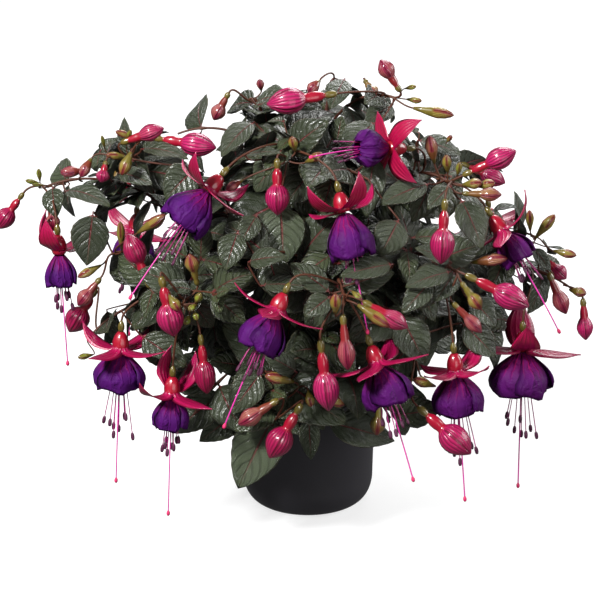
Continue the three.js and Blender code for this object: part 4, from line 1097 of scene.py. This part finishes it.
MORE_BUDS = [
    ((-167, -83, 188), (-0.6, -0.2, -0.7), 26, 11, 0.45),
    ((-167, -78, 208), (-0.9, -0.3, -0.4), 19, 7, 0.85),
    ((-134, -88, 254), (0, -0.2, 1), 24, 6, 0.9),
    ((-101, -98, 262), (0.8, -0.2, 0.6), 26, 8, 0.7),
    ((-83, -128, 243), (-0.2, -0.2, 1), 26, 10, 0.7),
    ((-134, -68, 282), (-0.4, -0.3, -0.9), 18, 9, 0.8),
    ((-180, -48, 278), (-0.9, -0.3, 0), 18, 9, 0.5),
    ((-165, -53, 276), (-0.5, -0.4, -0.8), 16, 8, 0.55),
    ((-149, -63, 275), (-0.2, -0.4, -0.9), 16, 10, 0.2),
    ((-186, -53, 235), (0.1, -0.3, -0.9), 22, 11, 0.5),
    ((-207, -38, 269), (-0.8, -0.5, 0.3), 11, 4, 1),
    ((-197, -38, 278), (0, -0.4, 0.9), 12, 4, 1),
    ((-202, -41, 267), (-0.8, -0.5, 0.2), 10, 3, 1),
    ((-149, -48, 306), (-0.1, -0.4, 0.9), 12, 3, 1),
    ((-139, -48, 309), (-0.8, -0.3, 0.4), 15, 6, 0.85),
    ((-146, -53, 293), (-0.9, -0.3, 0.2), 16, 6, 0.85),
    ((-128, -48, 310), (0.3, -0.5, 0.8), 11, 4, 1),
    ((-90, -145, 207), (0.5, -0.4, -0.7), 13, 8, 0.75),
    ((-75, -135, 216), (0.4, -0.5, 0.8), 11, 6, 1),
    ((-84, -136, 204), (-0.7, -0.7, -0.3), 8, 5, 1),
    ((-78, -135, 196), (0.3, -0.6, -0.7), 8, 5, 1),
    ((-87, -133, 192), (-0.4, -0.6, -0.7), 8, 6, 1),
    ((-169, -79, 146), (-0.9, -0.5, 0), 12, 5, 0.95),
    ((-31, -131, 153), (-0.9, -0.2, 0.3), 22, 9, 0.7),
    ((-36, 5, 334), (-0.1, -0.5, 0.9), 11, 6, 0.5),
    ((-58, -98, 280), (-0.8, -0.4, -0.4), 14, 7, 0.5),
    ((-12, -95, 318), (-0.2, -0.4, 0.9), 13, 7, 0.9),
    ((10, -99, 307), (0.8, -0.3, 0.5), 15, 7, 0.8),
    ((0, -15, 329), (-0.6, -0.4, -0.6), 13, 9, 0.5),
    ((49, -18, 327), (0.5, -0.4, -0.7), 15, 10, 0.65),
    ((79, -15, 334), (0.8, -0.5, 0.3), 10, 4, 0.95),
    ((83, -19, 324), (0.9, -0.4, 0), 12, 5, 0.9),
    ((85, -81, 315), (-0.2, -0.2, 1), 22, 9, 0.6),
    ((97, -85, 302), (-0.1, -0.3, 0.9), 15, 7, 0.9),
    ((107, -83, 296), (0.1, -0.4, 0.9), 12, 5, 0.95),
    ((102, -63, 310), (0.3, -0.6, 0.7), 9, 4, 0.7),
    ((123, -87, 282), (0.9, -0.4, 0.2), 15, 8, 0.85),
    ((132, -87, 282), (0.9, -0.4, 0.3), 14, 8, 0.8),
    ((158, -78, 259), (-0.1, -0.3, 1), 18, 6, 0.75),
    ((194, -73, 223), (0.9, -0.3, -0.1), 17, 7, 0.8),
    ((141, -105, 232), (1, -0.2, 0.2), 26, 9, 0.6),
    ((190, -53, 198), (0.7, -0.2, -0.6), 24, 12, 0.2),
    ((204, -63, 190), (0.9, -0.4, -0.1), 13, 8, 0.7),
    ((18, -171, 229), (0, -0.3, 1), 17, 8, 0.75),
    ((56, -163, 202), (0.8, -0.2, -0.5), 27, 9, 0.7),
    ((121, -129, 202), (0.6, -0.2, -0.8), 24, 10, 0.8),
    ((122, -127, 184), (0.7, -0.2, -0.7), 30, 10, 0.5),
    ((49, -125, 104), (-0.1, -0.2, -1), 26, 11, 0.75),
    ((26, -127, 129), (0.9, -0.5, -0.2), 13, 9, 0.7),
    ((2, -127, 127), (0.2, -0.5, -0.9), 12, 7, 0.7),
    ((75, -121, 146), (-0.8, -0.3, 0.4), 18, 8, 0.75),
    ((36, -155, 219), (0.7, -0.5, -0.5), 9, 5, 0.95),
]


def nearest_shoot(point):
    """The shoot that passes nearest to a point, and how far along it that is."""
    shares = np.linspace(0.3, 1, 36)
    found = []
    for shoot in all_shoots:
        gaps = np.linalg.norm(shoot.bend.at(shares) - point, axis=1)
        found.append((gaps.min(), shoot, shares[gaps.argmin()]))
    return min(found, key=lambda row: row[0])[1:]


def bud_start(bud):
    return vec(*bud.tip) - unit(vec(*bud.point)) * bud.long


def add_bud(stem, bend, along, bud, tone):
    """A bud and the stalk that it hangs by. A bud with no age of its own is as young as it is thin."""
    flower = Flower(bud_start(bud), bud.point)
    profile = FAT_BUD if bud.girth >= FAT else MIDDLE_BUD if bud.girth >= MIDDLE else SMALL_BUD
    young = float(np.clip((15 - bud.girth) / 8, 0, 1)) if bud.young is None else bud.young
    sides = 24 if bud.girth >= MIDDLE else 12
    bud_skins[stem].add(*lathe(flower, profile, bud.girth / 2, 0, bud.long, sides, 4, 0.03), (tone, young, 0),
                        end=bud.tip)
    stalk = hanging_stalk(bend, along, flower.centre, flower.axis)
    thick = min(STALK["radius"], 0.25 + 0.05 * bud.girth)
    wood[stem].add(stalk.at(np.linspace(0, 1, 12)), thick, (tone, 0.8, 1))


def bud_crimson():
    """Crimson with dark seams and fine lines, dusky to green when young, with a dark neck and green ovary."""
    made = Finish("bud_crimson", Roughness=0.34, Coat_Roughness=0.1, Specular_IOR_Level=0.35)
    x, along, y = made.attribute("place")
    tone, young, ovary = made.attribute("look")
    cloud = made.noise(170, 3)
    turn = x.math("ARCTAN2", y, x)
    panel = (turn * 4 + math.pi / 2).wave()
    seam = panel ** 24
    line = (turn * 20 + (cloud - 0.5) * 4).wave() ** 2
    fold = along.step(0.44, 0.52)
    rim = (panel.step(0.3, 0.9) * 0.8 + along.step(0.65, 1) * 0.7 + (cloud - 0.5) * 0.8).clamped()
    body = made.coats(
        made.blend(tone, (0.26, 0.003, 0.045), (0.4, 0.012, 0.1)),
        (young.step(0.1, 0.5), made.blend(rim, (0.3, 0.085, 0.075), (0.2, 0.009, 0.038))),
        (young.step(0.5, 0.75), made.blend(rim, (0.24, 0.19, 0.03), (0.2, 0.025, 0.022))),
        (young.step(0.85, 1), made.blend(rim, (0.22, 0.27, 0.03), (0.17, 0.13, 0.025))),
        (line * fold * (0.65 - 0.5 * young), (0.11, 0.002, 0.022)),
        (seam * fold * 0.8, (0.09, 0.002, 0.012)))
    neck = made.blend(young.step(0.2, 0.5), (0.28, 0.002, 0.018), (0.16, 0.02, 0.014))
    neck = made.blend(young.step(0.5, 0.75), neck, (0.14, 0.11, 0.016))
    green = made.blend(cloud, (0.075, 0.06, 0.01), (0.15, 0.11, 0.018))
    skin = made.blend(along.step(0.15, 0.2), green, made.blend(fold, neck, body))
    made.set("Base Color", made.blend(ovary, skin, green))
    made.set("Coat Weight", 0.7 - fold * 0.35)
    made.bump((line + seam * 2) * fold * -0.7 + cloud * 0.5, 0.0007, 0.7)
    return made


bud_finish = bud_crimson()
bud_roll = dice(41)
all_buds = [(Bud(*row), shoots[stem][shoot], along)
            for stem, rows in BUDS.items() for shoot, along, *row in rows]
all_buds += [(bud, *nearest_shoot(bud_start(bud))) for bud in (Bud(*row) for row in MORE_BUDS)]
for bud, shoot, along in all_buds:
    add_bud(shoot.stem, shoot.bend, along, bud, next(bud_roll))


# ---------------------------------------------------------------- small shoots
# The canopy between the model's leaves: some listed leaves, and short twigs on all sides with pairs of leaves
# and a tuft of young ones at their ends. Buds hang from the twigs at the back. A leaf or bud is kept only
# where it is clear of all that stands there.
TWIG = {"spacing": 19, "shortest": 22, "longest": 50, "leaf": 42, "pairs": 2, "girth": 0.9, "end": 0.5,
        "tufts": 0.4, "rear": 25}
TUFT_LEAVES = ((17, 42), (11, 28), (7, 16))
HEART = vec(0, 0, 150)
BOX_GAP = 1.2
# New leaves keep this far on the picture from the flowers, the buds and the wider of the listed leaves.
GUARD = 5.0
GUARDED_LEAF = 17.5
CANOPY = {"dome": [(-235, 236), (-200, 274), (-150, 298), (-100, 308), (-60, 320), (-20, 331), (30, 337),
                   (70, 326), (110, 304), (140, 280), (170, 252), (215, 222)],
          "back_fall": 0.25, "fall": 0.0008, "hem": 78, "hem_rise": 0.0031}
# The gaps that show the background: their middles on the picture and their radii, in mm at the plant.
GAPS = [(-78, 138, 9), (-146, -1, 7), (-198, 42, 6), (116, -111, 6), (-167, 113, 6), (130, 111, 6),
        (-66, 103, 6), (148, 80, 6), (185, 66, 6), (194, 51, 5), (-117, 65, 6), (-135, 5, 5), (108, 127, 5),
        (-182, 106, 5), (161, 113, 5), (-64, 143, 5), (42, 152, 6)]
NET_FACES = [(i, i + 1, i + 4, i + 3) for i in (0, 1, 3, 4, 6, 7)]
VIEW_WAY = vec(0, math.cos(CAMERA_ABOVE), -math.sin(CAMERA_ABOVE))
# The listed leaves: base, tip, width, the way the face looks, droop and tone. One that crosses something goes
# along the view by the first of the shifts that clears it.
SHIFTS = (0, 3, -3, 6, -6, 9, -9, 12, 16, 20, 24, 30)
# A tone over 1 is painted light: it makes a leaf paler than any random tone can.
PLACED_LEAVES = [
    # The tone of 1.4 paints light on this leaf.
    ((-20, -94, 270), (-18, -106, 226), 35, (0.1, -1, 0.3), 26, 1.4),
    ((-155, -66, 254), (-160, -76, 216), 29, (0, -1, 0.25), 24, 0),
    ((-79, -88, 295), (-102, -96, 273), 28, (-0.1, -0.9, 0.5), 24),
    # The tone of 2 paints light on this leaf over the pot, which lies in shade.
    ((-20, -124, 128), (-52, -116, 56), 40, (-0.15, -1, 0.35), 32, 2),
    ((0, -112, 116), (2, -110, 78), 16, (0, -1, 0.2), 20),
    ((12, -98, 103), (64, -90, 84), 28, (0.1, -0.8, 0.6), 26),
    ((15, -142, 219), (-14, -134, 238), 20, (0, -0.7, 0.7), 24),
    ((59, -125, 234), (21, -140, 230), 20, (0.1, -0.6, 0.8), 24),
    ((15, -146, 218), (-3, -154, 206), 18, (0, -0.8, 0.6), 24),
    ((-33, -132, 221), (1, -142, 223), 18, (0, -0.5, 0.85), 26),
    ((-42, -134, 239), (-15, -147, 247), 18, (0, -0.7, 0.75), 30),
    ((63, -112, 263), (50, -122, 240), 26, (0.1, -0.9, 0.4), 26),
    ((-39, -40, 314), (-63, -60, 293), 23, (-0.5, -0.7, 0.6), 32),
    ((-37, -20, 322), (10, -48, 328), 22, (0, -0.5, 0.85), 30),
    ((27, 0, 336), (16, -26, 319), 20, (-0.2, -0.9, 0.4), 26),
    ((62, -20, 322), (41, -40, 312), 20, (0, -0.7, 0.7), 26),
    ((-178, -40, 261), (-142, -70, 258), 20, (0.1, -0.5, 0.85), 50),
    ((-187, -40, 265), (-183, -56, 246), 18, (-0.2, -0.9, 0.35), 30),
    ((86, -88, 282), (49, -102, 270), 22, (0, -0.6, 0.8), 26),
    ((101, -90, 281), (83, -106, 268), 16, (0, -0.6, 0.8), 26),
    ((107, -92, 272), (122, -110, 240), 25, (0.35, -0.9, 0.3), 30),
    ((-49, -116, 256), (-58, -130, 231), 22, (-0.2, -0.9, 0.35), 26),
    ((49, -45, 315), (21, -70, 295), 26, (-0.2, -0.7, 0.7), 28),
    ((78, -55, 304), (110, -60, 294), 20, (0.2, -0.5, 0.85), 30),
    ((103, -114, 225), (88, -128, 207), 17, (0.1, -0.9, 0.4), 24),
    ((100, -112, 224), (67, -126, 217), 20, (0, -0.6, 0.8), 30),
    ((115, -100, 200), (134, -108, 181), 20, (0.3, -0.8, 0.5), 26),
    ((110, -96, 180), (135, -102, 155), 23, (0.3, -0.9, 0.3), 26),
    ((101, -112, 231), (74, -118, 244), 16, (0, -0.6, 0.8), 26),
    ((162, -72, 229), (175, -80, 213), 11, (0.3, -0.9, 0.3), 20),
    ((47, -62, 295), (41, -86, 255), 24, (-0.2, -0.9, 0.3), 20),
    ((-36, -110, 266), (-48, -122, 248), 17, (-0.1, -0.9, 0.4), 24),
    ((-121, -46, 295), (-85, -70, 294), 16, (-0.1, -0.4, 0.9), 36),
    ((-138, -48, 278), (-112, -64, 273), 19, (0, -0.5, 0.9), 30),
    ((-45, -80, 300), (-19, -96, 306), 13, (0, -0.4, 0.9), 30),
    ((-121, -98, 171), (-87, -108, 150), 26, (-0.2, -0.8, 0.5), 26),
    ((-33, -116, 150), (-56, -124, 120), 25, (-0.2, -0.9, 0.3), 26),
    ((-61, -92, 124), (-100, -94, 92), 30, (-0.2, -0.8, 0.55), 28),
    ((-46, -94, 112), (-80, -100, 88), 25, (-0.1, -0.85, 0.5), 26),
    ((65, -112, 192), (83, -124, 159), 28, (0.1, -0.95, 0.25), 24),
    ((87, -118, 220), (65, -132, 200), 19, (0, -0.8, 0.6), 26),
    ((-8, -128, 154), (-33, -130, 170), 17, (0, -0.8, 0.6), 26),
]
rng = np.random.default_rng(7)
box_low = np.array(cad_box[0]) / MM + BOX_GAP
box_high = np.array(cad_box[1]) / MM - BOX_GAP
box_low[2] = POT["height"] * 0.1
standing = []
seen = []


def solid(points, faces):
    """A shape for the tests: its middle, how far it reaches and its faces."""
    points = np.asarray(points, float)
    middle = points.mean(axis=0)
    reach = np.linalg.norm(points - middle, axis=1).max()
    return middle, reach, BVHTree.FromPolygons([tuple(point) for point in points], faces)


def clear(shape):
    """Whether a solid crosses nothing that stands already."""
    middle, reach, faces = shape
    return not any(np.linalg.norm(other - middle) < far + reach and faces.overlap(others)
                   for other, far, others in standing)


def on_picture(point):
    """Where a point lies on the picture, in millimetres at the plant, and how near it is."""
    turned = camera.rotation_euler.to_matrix().transposed() @ (Vector(point) * MM - camera.location)
    scale = CAMERA_AWAY / -turned.z / MM
    return turned.x * scale, turned.y * scale, -turned.z / MM


def hides(points):
    """Whether any point comes before something that the camera has to go on seeing."""
    for x, y, depth in map(on_picture, points):
        if any(depth < seen[i][2] for _, i, _ in seen_tree.find_range((x, y, 0), GUARD)):
            return True
    return False


def leaf_net(leaf):
    """A coarse net of a leaf, four rows of three points."""
    rib, up = leaf_rib(leaf, np.array((0.16, 0.4, 0.7, 1)))
    side = np.cross(leaf["reach"], leaf["face"])
    half = leaf["width"] / 2 * np.array((0.5, 1, 0.75, 0.05))[:, None, None]
    edge = np.array((-1, 0, 1))[:, None]
    grid = rib[:, None] + side * half * edge + up[:, None] * (half * LEAF["fold"] * np.abs(edge))
    return grid.reshape(-1, 3)


def shuts_gap(net):
    """Whether a leaf's net comes before one of the gaps."""
    net = net.reshape(4, 3, 3)
    net = np.concatenate([net, (net[1:] + net[:-1]) / 2])
    net = np.concatenate([net, (net[:, 1:] + net[:, :-1]) / 2], axis=1).reshape(-1, 3)
    return any((x - gap_x)**2 + (y - gap_y)**2 < (radius + 2)**2
               for x, y, _ in map(on_picture, net) for gap_x, gap_y, radius in GAPS)


def in_canopy(points):
    """Whether points lie between the dome over the plant and the hollow under its hanging shoots."""
    x, y, z = points.T
    dome = np.interp(x, *zip(*CANOPY["dome"])) - CANOPY["back_fall"] * np.maximum(0, y)
    hem = CANOPY["hem"] + CANOPY["hem_rise"] * x**2
    return (z < dome - CANOPY["fall"] * y**2).all() and (z > hem).all()


def in_box(points):
    return (points >= box_low).all() and (points <= box_high).all()


def first_free(ways):
    """The first of a leaf's ways that is in the canopy, hides and shuts nothing, and crosses nothing."""
    for way in ways:
        net = leaf_net(way)
        if in_canopy(net) and in_box(net) and not hides(net) and not shuts_gap(net):
            shape = solid(net, NET_FACES)
            if clear(shape):
                standing.append(shape)
                return way
    return None


def bud_rings(bud):
    return lathe(Flower(bud_start(bud), bud.point), FAT_BUD, bud.girth / 2, 0, bud.long, 8)[0]


def leaf_beside(bend, along, *way):
    """A leaf on a twig, with its upper face away from the plant's heart. way is turn to droop."""
    base = bend.at(along)
    leaf = leaf_from(base, bend.along(along), unit(base - HEART), *way, 0.1, (0.8, 0.6))
    return {**leaf, "wave": 9 * rng.random(), "curl": 0.16 * (rng.random() - 0.5)}


def placed_leaf(base, tip, wide, face, droop, tone=0.5):
    """A leaf from its base and its tip, which bends down between them."""
    # A tone over 1 is painted light: the leaf is made paler than any random tone.
    chord = vec(*tip) - vec(*base)
    ahead = unit(chord)
    above, _ = across(ahead, vec(*face))
    half_turn = math.radians(droop) / 2
    return {"base": vec(*base), "reach": ahead * math.cos(half_turn) + above * math.sin(half_turn),
            "face": above * math.cos(half_turn) - ahead * math.sin(half_turn),
            "length": np.linalg.norm(chord) * half_turn / math.sin(half_turn),
            "width": wide * 0.97, "droop": droop, "wave": wide, "young": 0.1, "tone": tone}


def leaf_stalk(root, leaf):
    """The path of a thin twig from a shoot to a leaf's base."""
    gap = np.linalg.norm(leaf["base"] - root)
    behind = (leaf["reach"] * 0.3 + leaf["face"] * 0.7) * min(0.4 * gap, 12)
    leave = between(root, leaf["base"], 0.3) - UP * gap * 0.05
    return Bend(root, leave, leaf["base"] - behind, leaf["base"] + leaf["reach"] * LEAF["heel"])


flower_nodes = [(f"bloom_{number:02}_{part}", bloom.at[1] < 0) for number, bloom in enumerate(BLOOMS, 1)
                for part in ("calyx", "corolla", "stamens")]
for node, in_front in (("pot", False), *flower_nodes):
    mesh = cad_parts[node].data
    points = [tuple(vertex.co / MM) for vertex in mesh.vertices]
    standing.append(solid(points, [tuple(face.vertices) for face in mesh.polygons]))
    if in_front:
        seen += map(on_picture, points)
for bud, _, _ in all_buds:
    rings = bud_rings(bud)
    standing.append(solid(*closed_rings(rings, rings[0].mean(axis=0), bud.tip)))
    if bud.tip[1] < 0:
        seen += map(on_picture, rings[::2].reshape(-1, 3))
for stem_leaves in leaves.values():
    standing += [solid(leaf_net(leaf), NET_FACES) for leaf in stem_leaves]

for spot in PLACED_LEAVES:
    for back in SHIFTS:
        leaf = placed_leaf(*spot)
        leaf["base"] += VIEW_WAY * back
        shape = solid(leaf_net(leaf), NET_FACES)
        if clear(shape):
            break
    shoot, along = nearest_shoot(leaf["base"])
    wood[shoot.stem].add(leaf_stalk(shoot.bend.at(along), leaf).at(np.linspace(0, 1, 10)), 0.7, (0.5, 0.6, 0))
    leaves[shoot.stem].append(leaf)
    standing.append(shape)
    if leaf["width"] > GUARDED_LEAF:
        middle_grid, _ = leaf_grid(leaf, np.linspace(0.2, 0.95, 7), (0.9, 0.45, 0, -0.45, -0.9))
        seen += map(on_picture, middle_grid.reshape(-1, 3))
seen_tree = tree_of([(x, y, 0) for x, y, _ in seen])

extra = {name: [] for name in STEMS}
bud_twigs = []
for shoot in all_shoots:
    start_at = 0.3 if shoot.main else 0.12
    path = shoot.bend.at(np.linspace(0, 1, 20))
    shoot_length = np.linalg.norm(np.diff(path, axis=0), axis=1).sum()
    count = max(3, round(shoot_length * (1 - start_at) / TWIG["spacing"])) if shoot.twigs else 0
    for k in range(count):
        along = between(start_at, 1, (k + rng.random()) / count)
        root = shoot.bend.at(along)
        axis = shoot.bend.along(along)
        wander = unit(rng.normal(size=3))
        way = unit(axis * 0.5 + unit(root - HEART) * 0.7 + wander * 0.9 + UP * 0.2)
        size = between(TWIG["shortest"], TWIG["longest"], rng.random())
        end = root + way * size - UP * size * 0.08
        bend = Bend(root, root + axis * size * 0.25, root + way * size * 0.7, end)
        turn = 360 * rng.random()
        kept = []
        for pair in range(TWIG["pairs"]):
            place = (pair + 0.7) / TWIG["pairs"]
            for half in (0, 180):
                round_ = turn + 90 * pair + half
                length = TWIG["leaf"] * between(0.75, 1.25, rng.random()) * (1.15 - 0.4 * place)
                droop = between(15, 65, rng.random())
                found = first_free([
                    leaf_beside(bend, place, round_ + aside, 55 + out, length * smaller, droop)
                    for smaller in (1, 0.8, 0.62) for out in (0, 22, -22) for aside in (0, 30, -30, 60)])
                if found:
                    kept.append({**found, "young": 0.25 + 0.3 * place})
                    reach = place
        tufted = rng.random() < TWIG["tufts"]
        for pair, (length, spread) in enumerate(TUFT_LEAVES):
            turn += 90
            for half in (0, 180):
                ways = [leaf_beside(bend, 1, turn + half + aside, spread,
                                    length * between(0.8, 1.2, rng.random()), between(5, 30, rng.random()))
                        for aside in (0, 40)]
                found = first_free(ways) if kept and tufted else None
                if found:
                    kept.append({**found, "young": 0.75 + 0.1 * pair})
                    reach = 1
        if len(kept) >= 3:
            extra[shoot.stem] += kept
            shares = np.linspace(0, 1, 10)
            girth = between(TWIG["girth"], TWIG["end"], shares)
            wood[shoot.stem].add(bend.at(shares * reach), girth, (rng.random(), 0.85, 0))
            if end[1] >= TWIG["rear"]:
                bud_twigs += [(shoot.stem, bend, end, reach)] * 2

for stem, bend, end, reach in bud_twigs:
    if rng.random() > 0.6:
        continue
    outward = unit(vec(end[0], end[1], 0))
    girth = between(7, 19, rng.random())
    point = outward * between(0, 0.8, rng.random()) - UP * between(0.3, 1, rng.random())
    point = unit(point + rng.normal(size=3) * 0.15)
    start = end + outward * between(2, 12, rng.random()) - UP * between(4, 14, rng.random())
    start = start + rng.normal(size=3) * 3
    long = 12 + 1.9 * girth
    bud = Bud(start + point * long, point, long, girth)
    rings = bud_rings(bud)
    points, faces = closed_rings(rings, rings[0].mean(axis=0), bud.tip)
    shape = solid(points, faces)
    if in_box(points) and not hides(points) and clear(shape):
        standing.append(shape)
        add_bud(stem, bend, reach, bud, rng.random())


def leaf_satin():
    """Dark green with pale side veins, painted shade in the sunken valleys beside them and a crimson rib,
    paler and duller below.
    """
    made = Finish("leaf_satin", Specular_IOR_Level=0.7)
    side, along, face = made.attribute("place")
    tone, young, _ = made.attribute("look")
    cloud = made.noise(90, 4)
    out = abs(side)
    wave = ((along - out * 0.2 - side ** 2 * 0.14 + (cloud - 0.5) * 0.06) * 42).wave()
    vein = wave ** 16 * (1 - out.step(0.75, 1))
    valley_bump_and_painted_shade = wave ** 5
    rib = 1 - out.step(0.015, 0.06)
    below = face * -1
    cells = {"Vector": made.node("ShaderNodeTexCoord", output="Object"), "Scale": 800}
    net = made.node("ShaderNodeTexVoronoi", {"feature": "DISTANCE_TO_EDGE"}, cells).step(0, 0.16)
    under = made.coats(
        made.blend(vein, (0.034, 0.042, 0.027), (0.055, 0.06, 0.038)),
        (rib, (0.3, 0.05, 0.06)))
    made.set("Base Color", made.coats(
        made.blend(cloud, (0.01, 0.015, 0.006), (0.026, 0.035, 0.015)),
        # A paler coat by tone. The tone is random, and on listed leaves a tone over 1 makes it painted light.
        (tone * 0.45, (0.085, 0.108, 0.06)),
        (young.step(0.2, 1), made.blend(cloud, (0.045, 0.066, 0.022), (0.08, 0.1, 0.03))),
        # Painted shade: the sunken valleys beside the side veins are darkened, more on young leaves.
        (valley_bump_and_painted_shade * (0.35 + young * 0.4), (0.007, 0.011, 0.005)),
        (vein * 0.2 + (1 - net) * 0.1, (0.09, 0.1, 0.06)),
        (along.step(0.85, 1) * 0.3, (0.08, 0.1, 0.025)),
        (rib * 0.75, made.blend(along.step(0.4, 0.9), (0.16, 0.012, 0.022), (0.13, 0.1, 0.07))),
        (below.step(-0.1, 0.3), under),
        (out.step(0.9, 1) * 0.55, (0.15, 0.13, 0.08)),
        (1 - along.step(0.07, 0.11), (0.2, 0.03, 0.03))))
    made.set("Roughness", 0.25 + 0.2 * cloud + below.step(0, 1) * 0.2)
    made.bump(valley_bump_and_painted_shade * -0.8 * (0.55 + young) - rib + cloud * 1.1 + net * 0.3, 0.0016, 0.8)
    return made


leaf_finish = leaf_satin()
for stem in STEMS:
    skins = Skins()
    for leaf in leaves[stem]:
        grid, place = leaf_grid(leaf, np.linspace(0, 1, 18)[:-1], (1, 0.9, 0.46, 0, -0.46, -0.9, -1))
        # A listed leaf brings its own tone, which over 1 paints light; other leaves take a random one.
        skins.add(grid, place, (leaf.get("tone", rng.random()), leaf["young"], 0), leaf_rib(leaf, 1)[0])
    for leaf in extra[stem]:
        large = leaf["length"] > 20
        alongs = np.linspace(0, 1, 13 if large else 7)[:-1]
        grid, place = leaf_grid(leaf, alongs, (1, 0.5, 0, -0.5, -1), large, 0.55)
        skins.add(grid, place, (rng.random() * 0.6, leaf["young"], 0), leaf_rib(leaf, 1)[0])
    new_piece(f"{stem}_leaves", skins.mesh("leaves"), [leaf_finish], "foliage", stem)
    new_piece(f"{stem}_buds", bud_skins[stem].mesh("buds"), [bud_finish], "foliage", stem)
    new_piece(f"{stem}_wood", wood[stem].swept("wood", 8, bark), [], "foliage", stem)
